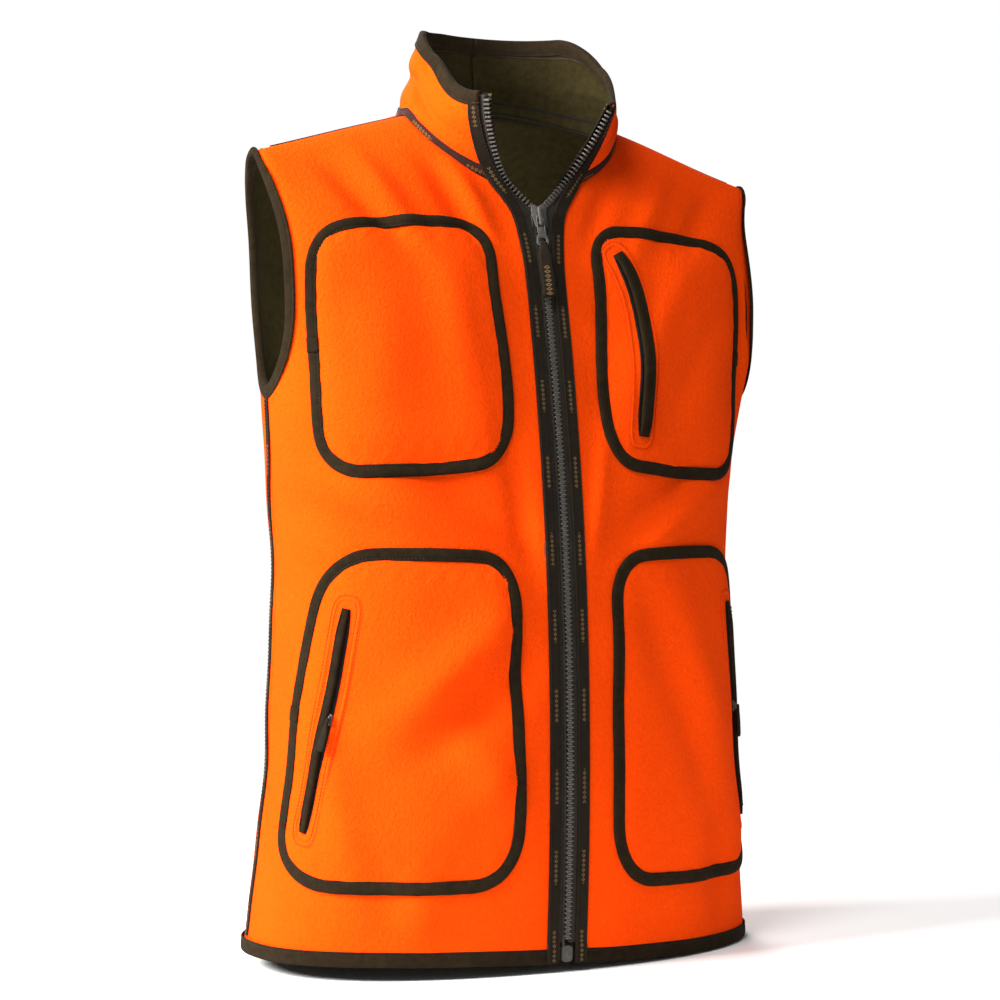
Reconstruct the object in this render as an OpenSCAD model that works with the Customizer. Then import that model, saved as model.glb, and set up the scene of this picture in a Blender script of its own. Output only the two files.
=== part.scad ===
// Zip-front fleece vest with four bound patch pockets, on its own shape as when worn.
// Units are millimetres. Origin: centre of the hem opening, on the plane the hem stands on.
// +Z up, -Y the zip front, +X the wearer's left. Each half is the mirror image of the other.

/* [Body] */
// Half width at the hem
hem_half = 220; // [180:1:280]
// Half width at the waist
waist_half = 196; // [160:1:260]
// Half width at the chest, below the armholes
chest_half = 213; // [180:1:280]
// Half width at the shoulder tips
tip_half = 222; // [180:1:280]
// Half width at the side of the neckline
neck_half = 94; // [70:1:120]
// Height of the shoulder tips above the hem
tip_z = 624; // [520:1:720]
// Height of the side of the neckline
neck_side_z = 660; // [560:1:760]
// Height of the neckline at the zip
neck_front_z = 603; // [500:1:700]
// Height of the neckline at the back
neck_back_z = 682; // [580:1:780]
// Squareness of the horizontal sections, 1 is an ellipse
section_power = 0.90; // [0.7:0.01:1]

/* [Zip line] */
// Radius of the arc that the zip follows, seen from the side
arc_r = 1850; // [1400:10:4000]
// Height where the zip line is furthest forward
arc_z = 150; // [50:5:300]
// Y of the zip line at that height
zip_y = -124; // [-160:1:-90]
// Height of the slider at rest
slider_z = 575; // [300:1:580]
// Height where the two tooth rows start to part
part_z = 582; // [300:1:590]
// Tooth pitch of one row
pitch = 3.5; // [2.5:0.1:5]

/* [Armholes] */
// Height of the lowest point of the armhole
armpit_z = 442; // [360:1:520]
// Angle by which the front edge is cut back from the side
scye_front = 20; // [10:1:30]
// Angle by which the back edge is cut back from the side
scye_back = 19; // [10:1:30]

/* [Collar] */
// Height of the collar's top edge at the back
collar_back_z = 751; // [700:1:800]
// Height of the collar's front corners
collar_front_z = 671; // [630:1:720]
// Half width of the collar's top edge
collar_half = 80; // [60:1:110]

/* [Fabric] */
// Thickness of the outer fleece
fleece_t = 1.5; // [1:0.1:3]
// Thickness of the lining
lining_t = 1.5; // [0.5:0.1:3]
// Width of the pocket bindings
bind_w = 10; // [6:0.5:14]
// Thickness of bindings and tapes
tape_t = 1.0; // [0.5:0.1:2]

/* [Show] */

/* [Hidden] */

fleece = [1.0, 0.33, 0.03];
olive = [0.24, 0.19, 0.12];
dark = [0.22, 0.22, 0.20];
metal = [0.42, 0.42, 0.42];

front_z1 = 520;        // height of the zip line level with the shoulder tips
part_rate = 0.16;      // length of the shoulder zone in the vertical parameter
top_w = 1 + part_rate; // vertical parameter of the neckline
low_w = 0.006;         // vertical parameter of the panels' lower edges
arm_w = 0.706;         // vertical parameter of the armpit
seam_t = 97;           // angle of the side seams
lay0 = 2.6;            // underside of the layer on the fleece
lay1 = 4.5;            // underside of the second layer

function lerp(a, b, s) = a + (b - a) * s;
function clamp(x, a, b) = max(a, min(b, x));
function bez(c, s) = len(c) == 1 ? c[0]
  : bez([for (i = [0:len(c) - 2]) c[i] + (c[i + 1] - c[i]) * s], s);
function smooth(s) = s * s * (3 - 2 * s);
function unit(v) = v / norm(v);

// Body surface. t is the angle round the body from the zip, w rises from hem 0 to neckline.
function shoulder(w) = clamp((w - 1) / part_rate, 0, 1);
function half_w(w) = w <= 1
  ? bez([hem_half, hem_half - 16, waist_half - 12, waist_half + 2, chest_half + 6, tip_half], w)
  : lerp(tip_half, neck_half, shoulder(w));
function side_z(w) = w <= 1 ? tip_z * w : lerp(tip_z, neck_side_z, shoulder(w));
function front_z(w) = w <= 1 ? bez([0, 185, 370, front_z1], w)
  : lerp(front_z1, neck_front_z, shoulder(w));
function back_z(w) = w <= 1 ? bez([0, 205, 410, 600], w) : lerp(600, neck_back_z, shoulder(w));
function back_y(w) = w <= 1 ? bez([112, 96, 100, 130, 118], w)
  : lerp(118, 62, smooth(shoulder(w)));
function mid_y(w) = w <= 1 ? bez([0, -4, -8, -15], w) : lerp(-15, -10, shoulder(w));
function arc_y(z) = zip_y + arc_r - sqrt(arc_r * arc_r - (z - arc_z) * (z - arc_z));

function S(t, w) = let (
    s = sin(t), c = cos(t),
    f = pow(max(c, 0), section_power), b = pow(max(-c, 0), section_power),
    zf = front_z(w), zs = side_z(w), ym = mid_y(w))
  [half_w(w) * sign(s) * pow(abs(s), section_power),
   ym + f * (arc_y(zf) - ym) + b * (back_y(w) - ym),
   zs + pow(f, 1.6) * (zf - zs) + pow(b, 1.6) * (back_z(w) - zs)];
function N(t, w) = let (w0 = clamp(w, 0.002, top_w - 0.002))
  unit(cross(S(t + 0.3, w0) - S(t - 0.3, w0), S(t, w0 + 0.002) - S(t, w0 - 0.002)));
function on(q, o) = S(q[0], q[1]) + N(q[0], q[1]) * o;

// Half gap between the tooth rows at height z, and the angle of a point x from the middle.
function gap(z) = z <= part_z ? 0 : 25 * pow((z - part_z) / 23, 0.9);
function ang(x, w) = asin(pow(clamp(x / half_w(w), 0, 1), 1 / section_power));
function t_edge(w, x) = ang(x + gap(front_z(w) + 1), w);

// Limits of the three zones of a front: edge (opens), fold (bends) and side (stays).
// fold_at is 1 where a front turns with the zip edge and 0 where it stays with the body.
function fold_at(p) = -0.0045 * p[0] - 0.0142 * p[1] + 0.00068 * p[2] - 0.255;
function t_where(w, v, a, b, n = 12) = let (m = (a + b) / 2)
  n == 0 ? m : fold_at(S(m, w)) > v ? t_where(w, v, m, b, n - 1) : t_where(w, v, a, m, n - 1);
function t_fold(w) = min(88, max(t_where(w, 0.02, 5, 95), t_flap(w) + 4));
function t_flap(w) = max(t_edge(w, 21), t_where(w, 0.98, 2, 90));
function arm_s(w) = clamp((w - arm_w) / (1 - arm_w), 0, 1);
function arm_g(s) = s < 0.5 ? pow(max(sin(180 * s), 0), 0.6) : 1 - pow((s - 0.5) / 0.5, 1.8);
function t_front(w) = w <= arm_w ? lerp(seam_t, 93, clamp(w / arm_w, 0, 1))
  : w >= 1 ? 89.6 : 92.5 - 2.5 * arm_s(w) - scye_front * arm_g(arm_s(w));
function t_back(w) = w <= arm_w ? lerp(seam_t, 93, clamp(w / arm_w, 0, 1)) + 0.3
  : w >= 1 ? 90.4 : 93.5 - 2.5 * arm_s(w) + scye_back * arm_g(arm_s(w));

rows_low = [for (i = [0:10]) lerp(low_w, arm_w, i / 10)];
rows_arm = [for (s = [0.004, 0.015, 0.04, 0.1, 0.2, 0.32, 0.46, 0.6, 0.75, 0.88, 0.98]) lerp(arm_w, 1, s)];
rows_top = [for (i = [0:3]) lerp(1, top_w, i / 3)];
rows = concat(rows_low, rows_arm, rows_top);
rows_flap = concat(rows_low, rows_arm, [1, 1.06, 1.115, 1.128, 1.14]);

// Closed sheet from two grids of points, outer first; grids run left to right and upwards.
module sheet(a, b) {
  n = len(a); m = len(a[0]); k = n * m;
  pts = concat([for (r = a) for (p = r) p], [for (r = b) for (p = r) p]);
  ring = concat([for (j = [0:m - 1]) j], [for (i = [1:n - 1]) i * m + m - 1],
    [for (j = [m - 2:-1:0]) (n - 1) * m + j], [for (i = [n - 2:-1:1]) i * m]);
  c = len(ring);
  polyhedron(pts, concat(
    [for (i = [0:n - 2]) for (j = [0:m - 2]) let (q = i * m + j) each
      [[q, q + m, q + m + 1], [q, q + m + 1, q + 1]]],
    [for (i = [0:n - 2]) for (j = [0:m - 2]) let (q = k + i * m + j) each
      [[q, q + m + 1, q + m], [q, q + 1, q + m + 1]]],
    [for (i = [0:c - 1]) let (p = ring[i], q = ring[(i + 1) % c]) each
      [[p, q, k + q], [p, k + q, k + p]]]));
}

// Sheet on the body between two angles per row, from offset o0 to offset o1.
module panel(rw, ta, tb, m, o0, o1) {
  g = [for (i = [0:len(rw) - 1]) [for (j = [0:m]) [lerp(ta[i], tb[i], j / m), rw[i]]]];
  sheet([for (r = g) [for (q = r) on(q, o1)]], [for (r = g) [for (q = r) on(q, o0)]]);
}

// Section swept along points with frames; sec is a list of [across, outward] points.
module sweep(path, nrm, sec, closed = false) {
  n = len(path); k = len(sec);
  tan = [for (i = [0:n - 1]) unit(path[closed ? (i + 1) % n : min(i + 1, n - 1)]
    - path[closed ? (i + n - 1) % n : max(i - 1, 0)])];
  pts = [for (i = [0:n - 1]) let (b = unit(cross(tan[i], nrm[i])), o = cross(b, tan[i]))
    for (q = sec) path[i] + b * q[0] + o * q[1]];
  last = closed ? n - 1 : n - 2;
  polyhedron(pts, concat(
    [for (i = [0:last]) for (j = [0:k - 1]) let (a = i * k + j, b = i * k + (j + 1) % k,
      c = ((i + 1) % n) * k + (j + 1) % k, d = ((i + 1) % n) * k + j) each [[a, d, c], [a, c, b]]],
    closed ? [] : [[for (j = [0:k - 1]) j], [for (j = [k - 1:-1:0]) (n - 1) * k + j]]));
}

module both(right) { if (right) mirror([1, 0, 0]) children(); else children(); }

// Panels of the body.
module back_panel(o0, o1) {
  color(o0 < 0 ? olive : fleece)
    panel(rows, [for (w = rows) t_back(w)], [for (w = rows) 360 - t_back(w)], 20, o0, o1);
}
module side_panel(right, o0, o1) {
  color(o0 < 0 ? olive : fleece) both(right)
    panel(rows, [for (w = rows) t_fold(w) + 0.3], [for (w = rows) max(t_front(w), t_fold(w) + 1)],
      5, o0, o1);
}
module fold_panel(right, o0, o1) {
  color(o0 < 0 ? olive : fleece) both(right)
    panel(rows, [for (w = rows) t_flap(w) + 0.3], [for (w = rows) max(t_fold(w), t_flap(w) + 1)],
      5, o0, o1);
}
module edge_panel(right, o0, o1) {
  color(o0 < 0 ? olive : fleece) both(right)
    panel(rows_flap, [for (w = rows_flap) t_edge(w, 8)], [for (w = rows_flap) t_flap(w)],
      3, o0, o1);
}

// Collar: s runs from the zip edge to the middle of the back, q from the neckline to the top.
col_t0 = t_edge(top_w, 8);
function C(s, q) = let (
    t = lerp(48, 180, s), f = pow(max(cos(t), 0), 0.9), b = pow(max(-cos(t), 0), 0.9),
    top = [collar_half * pow(max(sin(t), 0), 0.9), -10 - 112 * f + 76 * b,
      lerp(collar_front_z, collar_back_z, smooth(clamp((t - 48) / 80, 0, 1)))],
    low = S(lerp(col_t0, 180, s), top_w))
  lerp(low, top, q) + [sign(sin(t)) * 5 * sin(180 * q) * sin(t), 4 * sin(180 * q) * b, 0];
function CN(s, q) = let (s0 = clamp(s, 0.01, 0.98), q0 = clamp(q, 0.02, 0.98))
  unit(cross(C(s0 + 0.01, q0) - C(s0 - 0.01, q0), C(s0, q0 + 0.02) - C(s0, q0 - 0.02)));
function onc(s, q, o) = C(s, q) + CN(s, q) * o;
// u runs from the left zip edge 0 round the back 1 to the right zip edge 2.
function onr(u, q, o) = let (p = onc(u <= 1 ? u : 2 - u, q, o)) u <= 1 ? p : [-p[0], p[1], p[2]];
module ring(qs, m, o0, o1) {
  sheet([for (q = qs) [for (j = [0:m]) onr(2 * j / m, q, o1)]],
    [for (q = qs) [for (j = [0:m]) onr(2 * j / m, q, o0)]]);
}
module collar_panel(o0, o1) {
  color(o0 < 0 ? olive : fleece) ring([0.08, 0.25, 0.5, 0.75, 0.97], 30, o0, o1);
}
module collar_tape(q0, q1) { color(olive) ring([q0, q1], 30, lay0, lay0 + tape_t); }
module side_tape(right) {
  r = [for (i = [0:8]) lerp(0.022, arm_w - 0.006, i / 8)];
  color(olive) both(right) panel(r, [for (w = r) t_back(w) - 1.6], [for (w = r) t_back(w) + 1.6],
    1, lay0 + 0.1, lay0 + tape_t + 0.1);
}

// Armhole binding: a band along the cut edges, 0.9 mm clear of fleece and lining.
module armhole_binding(right) {
  k = len(rows_arm);
  q = concat([for (i = [k - 1:-1:0]) [t_front(rows_arm[i]), rows_arm[i]]],
    [[93.15, arm_w]], [for (w = rows_arm) [t_back(w), w]]);
  color(olive) both(right)
    sweep([for (p = q) S(p[0], p[1])], [for (p = q) N(p[0], p[1])],
      [[-0.9, 3.0], [-2.7, 3.0], [-2.7, -3.2], [-0.9, -3.2]]);
}

// Hem binding: strips with a flat underside on the plane the vest stands on. The two walls are
// sunk into the base strip and set back 0.1 mm from its edges.
module hem_strip(t0, t1, m, o0, o1, z0, z1) {
  g = [for (i = [0:m]) let (t = lerp(t0, t1, i / m), n = N(t, 0.002), d = unit([n[0], n[1]]),
    p = S(t, 0)) [[p[0], p[1]] + d * o1, [p[0], p[1]] + d * o0]];
  translate([0, 0, z0]) linear_extrude(height = z1 - z0)
    polygon(concat([for (q = g) q[0]], [for (i = [m:-1:0]) g[i][1]]));
}
module hem_binding(t0, t1, m) {
  color(olive) {
    hem_strip(t0, t1, m, -4.3, 3.7, 0, 1.2);
    hem_strip(t0 + 0.1, t1 - 0.1, m, 2.5, 3.6, 0.6, 12);
    hem_strip(t0 + 0.1, t1 - 0.1, m, -4.2, -3.2, 0.6, 6);
  }
}

// The same binding as one swept channel, for the short front pieces.
module hem_channel(t0, t1, m) {
  t = [for (i = [0:m]) lerp(t0, t1, i / m)];
  color(olive) sweep([for (a = t) let (p = S(a, 0)) [p[0], p[1], 0]],
    [for (a = t) let (n = N(a, 0.002)) unit([n[0], n[1], 0])],
    [[0, 3.7], [-12, 3.7], [-12, 2.5], [-1.2, 2.5], [-1.2, -3.2], [-6, -3.2], [-6, -4.3], [0, -4.3]]);
}

// Patch pockets. Eight guide points [t, w]: four corners and four middles of the sides.
chest_g = [[10, 0.700], [66.5, 0.610], [61.5, 0.945], [12.5, 1.094],
  [31, 0.665], [66, 0.790], [38, 1.051], [8.6, 0.905]];
hand_g = [[8.9, 0.100], [77, 0.088], [64, 0.523], [10.4, 0.569],
  [35, 0.094], [76, 0.300], [30, 0.566], [10, 0.345]];
function patch_q(g, x, y) =
  (1 - x) * (1 - y) * (-x - y - 1) / 4 * g[0] + (1 + x) * (1 - y) * (x - y - 1) / 4 * g[1]
  + (1 + x) * (1 + y) * (x + y - 1) / 4 * g[2] + (1 - x) * (1 + y) * (-x + y - 1) / 4 * g[3]
  + (1 - x * x) * (1 - y) / 2 * g[4] + (1 + x) * (1 - y * y) / 2 * g[5]
  + (1 - x * x) * (1 + y) / 2 * g[6] + (1 - x) * (1 - y * y) / 2 * g[7];
// Half width left at height y of a rounded square with corner radii rx and ry.
function inset(y, rx, ry) = let (d = max(0, abs(y) - 1 + ry) / ry) rx * (1 - sqrt(max(0, 1 - d * d)));
module patch(right, g, rx, ry, k, o0, o1, col) {
  ys = [for (y = [-1, -0.95, -0.82, -0.6, -0.3, 0, 0.3, 0.6, 0.82, 0.95, 1]) y * k];
  gr = [for (y = ys) let (h = k - inset(y / k, rx, ry)) [for (j = [0:16])
    patch_q(g, lerp(-h, h, j / 16), y)]];
  color(col) both(right)
    sheet([for (r = gr) [for (q = r) on(q, o1)]], [for (r = gr) [for (q = r) on(q, o0)]]);
}
// Outline of the same rounded square as a closed ring, with m points to a corner.
function ring_q(rx, ry, m) = [for (c = [0:3]) let (
    sx = c == 0 || c == 3 ? 1 : -1, sy = c < 2 ? 1 : -1, fx = c % 2 == 0) each concat(
    [for (i = [0:m]) let (a = 90 * i / m, ca = fx ? cos(a) : sin(a), sa = fx ? sin(a) : cos(a))
      [sx * (1 - rx + rx * ca), sy * (1 - ry + ry * sa)]],
    [for (k = [1:6]) let (v = lerp(1, -1, k / 7))
      fx ? [sx * v * (1 - rx), sy] : [sx, sy * v * (1 - ry)]])];
module patch_binding(right, g, rx, ry) {
  c = [for (q = ring_q(rx, ry, 7)) patch_q(g, 0.935 * q[0], 0.95 * q[1])];
  color(olive) both(right) sweep([for (q = c) S(q[0], q[1])], [for (q = c) N(q[0], q[1])],
    [[bind_w / 2, lay1], [bind_w / 2, lay1 + tape_t], [-bind_w / 2, lay1 + tape_t],
      [-bind_w / 2, lay1]], true);
}

// Pocket openings: a line on the body from q0 to q1, with a zip coil, and a round piping on
// the side away from the main zip.
chest_line = [[17.5, 1.040], [20.5, 0.745]];
hand_line = [[54.8, 0.455], [66.9, 0.165]];
module along(right, l, n, a0, a1, sec, col) {
  q = [for (i = [0:n]) l[0] + (l[1] - l[0]) * lerp(a0, a1, i / n)];
  color(col) both(right) sweep([for (p = q) S(p[0], p[1])], [for (p = q) N(p[0], p[1])], sec);
}
module piping(right, l)
  along(right, l, 10, 0, 1, [for (a = [0:60:300]) [-3.2 + 2 * cos(a), 6.4 + 2 * sin(a)]], olive);
module coil(right, l)
  along(right, l, 10, 0.02, 0.98, [[3.6, 4.3], [3.6, 5.5], [-0.4, 5.5], [-0.4, 4.3]], dark);

// Local frame at angle t, height w, looking down the pocket line: x across, y outward, z along.
module at_line(l, u) {
  q = l[0] + (l[1] - l[0]) * u; p = S(q[0], q[1]); n = N(q[0], q[1]);
  e = l[0] + (l[1] - l[0]) * (u + 0.01);
  d = unit(S(e[0], e[1]) - p); b = unit(cross(n, d)); o = cross(d, b);
  multmatrix([[b[0], o[0], d[0], p[0]], [b[1], o[1], d[1], p[1]], [b[2], o[2], d[2], p[2]],
    [0, 0, 0, 1]]) children();
}
hand_rest = 0.5; // where the hand pocket sliders stand along their openings
module pocket_slider(right, l, u) {
  color(metal) both(right) at_line(l, u) {
    translate([-4.6, 6.1, -5]) cube([5.2, 1.2, 10]);
    translate([-2.7, 7.2, -4]) difference() {
      cube([1.6, 3.4, 7]);
      translate([-1, 0.8, 2]) cube([4, 1.8, 2.6]);
    }
  }
}
// Pocket puller: a pin through the slider's lug and a tapering cord end.
module pocket_puller(right) {
  color(dark) both(right) at_line(hand_line, hand_rest) {
    translate([-1.9, 8.9, -0.7]) rotate([0, 90, 0])
      cylinder(h = 4.6, d = 1.3, center = true, $fn = 24);
    for (x = [-4.4, -0.4]) translate([x, 8.3, -1.2]) cube([1, 1.2, 6]);
    translate([-4.4, 8.3, 4.7]) cube([5, 1.2, 20]);
  }
}

// Frame on the zip arc at height z: x to the wearer's left, y outward, z up along the arc.
module at_arc(z) {
  f = asin((z - arc_z) / arc_r);
  translate([0, arc_y(z), z]) rotate([-f, 0, 0]) mirror([0, 1, 0]) children();
}
function zip_p(z, x) = z <= neck_front_z ? let (g = gap(z)) [x + g, arc_y(z), z] : [0, 0, 0];
zs_tape = concat([16], [for (w = rows_flap) if (front_z(w) > 20) front_z(w)]);
module zip_tape(right) {
  color(dark) both(right) sheet(
    [for (z = zs_tape) [for (x = [1.4, 7.2]) zip_p(z, x) + [0, -1.0, 0]]],
    [for (z = zs_tape) [for (x = [1.4, 7.2]) zip_p(z, x)]]);
}
module tooth() { translate([-1.0, 1.25, -0.7]) cube([2.2, 1.6, 1.4]); }
module zip_teeth(right) {
  off = right ? pitch / 2 : 0;
  color(metal) both(right) for (i = [0:floor((600 - 20 - off) / pitch)])
    let (z = 20 + off + i * pitch) translate([gap(z), 0, 0]) at_arc(z) tooth();
}
rows_tape = concat([0.024], [for (w = rows_flap) if (w > 0.03) w]);
module zip_facing(right) {
  color(olive) both(right) panel(rows_tape, [for (w = rows_tape) t_edge(w, 7.6)],
    [for (w = rows_tape) t_edge(w, 17.6)], 1, lay0, lay0 + tape_t);
}
module zip_collar(right) {
  color(dark) both(right) sheet(
    [for (i = [0:6]) [for (s = [-0.018, -0.006]) C(0, i / 6 * 0.93 + 0.04)
      + (C(0.01, i / 6 * 0.9) - C(0, i / 6 * 0.9)) * s * 100 + CN(0, 0.5) * 1.2]],
    [for (i = [0:6]) [for (s = [-0.018, -0.006]) C(0, i / 6 * 0.93 + 0.04)
      + (C(0.01, i / 6 * 0.9) - C(0, i / 6 * 0.9)) * s * 100]]);
}
module zip_slider() {
  color(metal) at_arc(slider_z) {
    translate([-6.3, 3.3, -8]) cube([12.6, 1.2, 20]);
    translate([-6.3, -2.4, -8]) cube([12.6, 1.2, 20]);
    translate([-0.6, -1.3, 9.4]) cube([1.2, 4.7, 1.6]);
    for (s = [-1, 1]) {
      translate([s * 5.8 - 0.5, 1.5, -8]) cube([1.0, 1.9, 13]);
      translate([s * 5.8 - 0.5, -1.3, -8]) cube([1.0, 0.7, 13]);
    }
    translate([-1.5, 4.4, -5]) difference() {
      cube([3, 4.2, 13]);
      translate([-1, 1.2, 4]) cube([5, 1.9, 5]);
    }
  }
}
// Puller: a pin through the slider's lug, two arms and a plate with an oblong hole.
module zip_puller() {
  color(metal) at_arc(slider_z) {
    translate([0, 6.55, 0.9]) rotate([0, 90, 0]) cylinder(h = 6.4, d = 1.5, center = true, $fn = 24);
    for (s = [-1, 1]) translate([s * 2.8 - 0.6, 5.8, -13]) cube([1.2, 1.5, 14.7]);
    translate([-5.2, 5.8, -24]) difference() {
      cube([10.4, 1.5, 11.5]);
      translate([2.2, -1, 2]) cube([6, 4, 5]);
    }
  }
}
// Fabric tab looped through the puller's hole.
module pull_tab() {
  color(dark) at_arc(slider_z) difference() {
    translate([-2.7, 4.3, -66]) cube([5.4, 4.5, 45.6]);
    translate([-5, 5.1, -65.2]) cube([10, 2.9, 44]);
  }
}
// Retainer box at the foot of the left row, with the socket for the right row's pin.
module zip_retainer() {
  color(metal) at_arc(8) difference() {
    translate([-5, -1.6, -6]) cube([10, 5.4, 12]);
    translate([-3, 1.2, -2]) cylinder(h = 10, d = 2.2, $fn = 24);
  }
}
module zip_pin() {
  color(metal) at_arc(8) translate([-3, 1.2, -1.5]) cylinder(h = 8.6, d = 1.6, $fn = 24);
}

back_panel(0, fleece_t);  // back_outer
back_panel(-0.3 - lining_t, -0.3);  // back_lining
side_panel(true, 0, fleece_t);  // side_outer_right
side_panel(true, -0.3 - lining_t, -0.3);  // side_lining_right
fold_panel(true, 0, fleece_t);  // fold_outer_right
fold_panel(true, -0.3 - lining_t, -0.3);  // fold_lining_right
edge_panel(true, 0, fleece_t);  // front_edge_right
edge_panel(true, -0.3 - lining_t, -0.3);  // front_edge_lining_right
armhole_binding(true);  // armhole_binding_right
both(true) hem_channel(t_flap(0) + 0.3, t_fold(0), 12);  // hem_binding_fold_right
both(true) hem_channel(t_edge(0, 8), t_flap(0), 8);  // hem_binding_front_right
patch(true, chest_g, 0.36, 0.28, 1, lay0, lay0 + 1, fleece);  // chest_patch_right
patch_binding(true, chest_g, 0.36, 0.28);  // chest_patch_binding_right
patch(true, hand_g, 0.46, 0.3, 1, lay0, lay0 + 1, fleece);  // hand_patch_right
patch_binding(true, hand_g, 0.46, 0.3);  // hand_patch_binding_right
piping(true, hand_line);  // hand_pocket_piping_right
coil(true, hand_line);  // hand_pocket_coil_right
zip_facing(true);  // zip_facing_right
zip_tape(true);  // zip_tape_right
zip_teeth(true);  // zip_teeth_right
zip_collar(true);  // zip_collar_right
side_panel(false, 0, fleece_t);  // side_outer_left
side_panel(false, -0.3 - lining_t, -0.3);  // side_lining_left
fold_panel(false, 0, fleece_t);  // fold_outer_left
fold_panel(false, -0.3 - lining_t, -0.3);  // fold_lining_left
edge_panel(false, 0, fleece_t);  // front_edge_left
edge_panel(false, -0.3 - lining_t, -0.3);  // front_edge_lining_left
armhole_binding(false);  // armhole_binding_left
both(false) hem_channel(t_flap(0) + 0.3, t_fold(0), 12);  // hem_binding_fold_left
both(false) hem_channel(t_edge(0, 8), t_flap(0), 8);  // hem_binding_front_left
patch(false, chest_g, 0.36, 0.28, 1, lay0, lay0 + 1, fleece);  // chest_patch_left
patch_binding(false, chest_g, 0.36, 0.28);  // chest_patch_binding_left
patch(false, hand_g, 0.46, 0.3, 1, lay0, lay0 + 1, fleece);  // hand_patch_left
patch_binding(false, hand_g, 0.46, 0.3);  // hand_patch_binding_left
piping(false, hand_line);  // hand_pocket_piping_left
coil(false, hand_line);  // hand_pocket_coil_left
zip_facing(false);  // zip_facing_left
zip_tape(false);  // zip_tape_left
zip_teeth(false);  // zip_teeth_left
zip_collar(false);  // zip_collar_left
piping(false, chest_line);  // chest_pocket_piping
coil(false, chest_line);  // chest_pocket_coil
patch(false, chest_g, 0.36, 0.28, 0.8, -3.6, -2.6, olive);  // chest_pocket_bag
zip_slider();
zip_puller();
pull_tab();
zip_retainer();
collar_panel(0, fleece_t);  // collar_outer
collar_panel(-0.3 - lining_t, -0.3);  // collar_lining
collar_tape(0.90, 1.0);  // collar_binding
collar_tape(0.08, 0.21);  // neck_tape
hem_binding(t_fold(0) + 0.3, 359.7 - t_fold(0), 44);  // hem_binding_back
pocket_slider(false, chest_line, 0.06);  // chest_pocket_slider
zip_pin();
side_tape(true);  // side_tape_right
pocket_slider(true, hand_line, hand_rest);  // hand_pocket_slider_right
pocket_puller(true);  // hand_pocket_puller_right
side_tape(false);  // side_tape_left
pocket_slider(false, hand_line, hand_rest);  // hand_pocket_slider_left
pocket_puller(false);  // hand_pocket_puller_left
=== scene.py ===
"""Looks of the zip-front fleece vest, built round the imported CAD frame. Lengths inside are mm."""
import math
import bpy
import numpy as np
from mathutils import Matrix, Vector

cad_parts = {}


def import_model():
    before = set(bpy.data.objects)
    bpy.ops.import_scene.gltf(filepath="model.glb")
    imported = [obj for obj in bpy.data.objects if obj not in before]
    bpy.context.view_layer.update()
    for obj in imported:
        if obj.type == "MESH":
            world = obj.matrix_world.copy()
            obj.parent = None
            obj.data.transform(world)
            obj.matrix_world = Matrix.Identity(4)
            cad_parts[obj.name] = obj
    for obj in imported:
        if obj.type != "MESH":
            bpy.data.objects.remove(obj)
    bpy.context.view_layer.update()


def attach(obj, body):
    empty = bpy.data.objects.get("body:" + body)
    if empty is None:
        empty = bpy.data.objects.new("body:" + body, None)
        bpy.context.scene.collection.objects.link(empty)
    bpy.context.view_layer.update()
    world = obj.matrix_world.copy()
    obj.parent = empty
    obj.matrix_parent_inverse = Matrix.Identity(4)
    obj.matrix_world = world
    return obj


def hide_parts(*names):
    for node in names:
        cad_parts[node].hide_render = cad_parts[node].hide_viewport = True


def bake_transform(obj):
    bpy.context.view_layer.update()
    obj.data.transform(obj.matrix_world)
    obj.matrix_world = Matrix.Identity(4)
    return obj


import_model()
SIDES = {"left": 1.0, "right": -1.0}

# ---------------------------------------------------------------- surface of the vest
# Half widths at the hem, waist, chest, shoulder tips and neck, then heights along the top edge.
HEM, WAIST, CHEST, TIP, NECK = 220.0, 196.0, 213.0, 222.0, 94.0
TIP_Z, NECK_SIDE_Z, NECK_FRONT_Z, NECK_BACK_Z, FRONT_Z1 = 624.0, 660.0, 603.0, 682.0, 520.0
# Seen from the side the zip lies on an arc: its radius, and the place of its foremost point.
POWER, ARC_R, ARC_Z, ZIP_Y = 0.90, 1850.0, 150.0, -124.0
# The slider, the place where the rows part, the teeth; half gap and rise of the open V.
SLIDER_Z, PART_Z, PITCH, GAP_HALF, GAP_RISE = 575.0, 582.0, 3.5, 25, 23
# w runs up the surface: 0 hem, 1 shoulder tips, TOP_W neck seam. t is an angle round it, 0 at the zip.
ARMPIT_W, TOP_W, LOW_W, YOKE_W = 0.706, 1.16, 0.006, 0.16
SEAM_LOW_T, SEAM_HIGH_T = 97, 93
CREASE_REACH = 0.07
CREASE_WEIGHTS = ((-1, 0.06), (-0.67, 0.12), (-0.33, 0.2), (0, 0.24), (0.33, 0.2), (0.67, 0.12), (1, 0.06))
# y that parts front folds from back folds, and how far all folds are raised
SIDE_Y, FOLD_GAIN = -12, 2.3
# heights of the sheets' two faces over the surface
FLEECE_SKIN, LINING_SKIN, PATCH_SKIN, BAG_SKIN = (0.0, 1.6), (-1.9, -0.3), (1.7, 3.1), (-3.6, -2.4)


def lerp(a, b, s):
    return a + (b - a) * s


def smooth(s):
    s = np.clip(s, 0, 1)
    return s * s * (3 - 2 * s)


def bez(c, s):
    n = len(c) - 1
    return sum(math.comb(n, i) * (1 - s) ** (n - i) * s ** i * k for i, k in enumerate(c))


def unit(v):
    return v / np.maximum(np.linalg.norm(v, axis=-1, keepdims=True), 1e-9)


def arc_y(z):
    return ZIP_Y + ARC_R - np.sqrt(ARC_R ** 2 - (z - ARC_Z) ** 2)


def split(w):
    """Share of the way up the body, and of the way up the yoke above the shoulder tips."""
    return np.clip(w, 0, 1), np.clip((w - 1) / YOKE_W, 0, 1)


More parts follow.
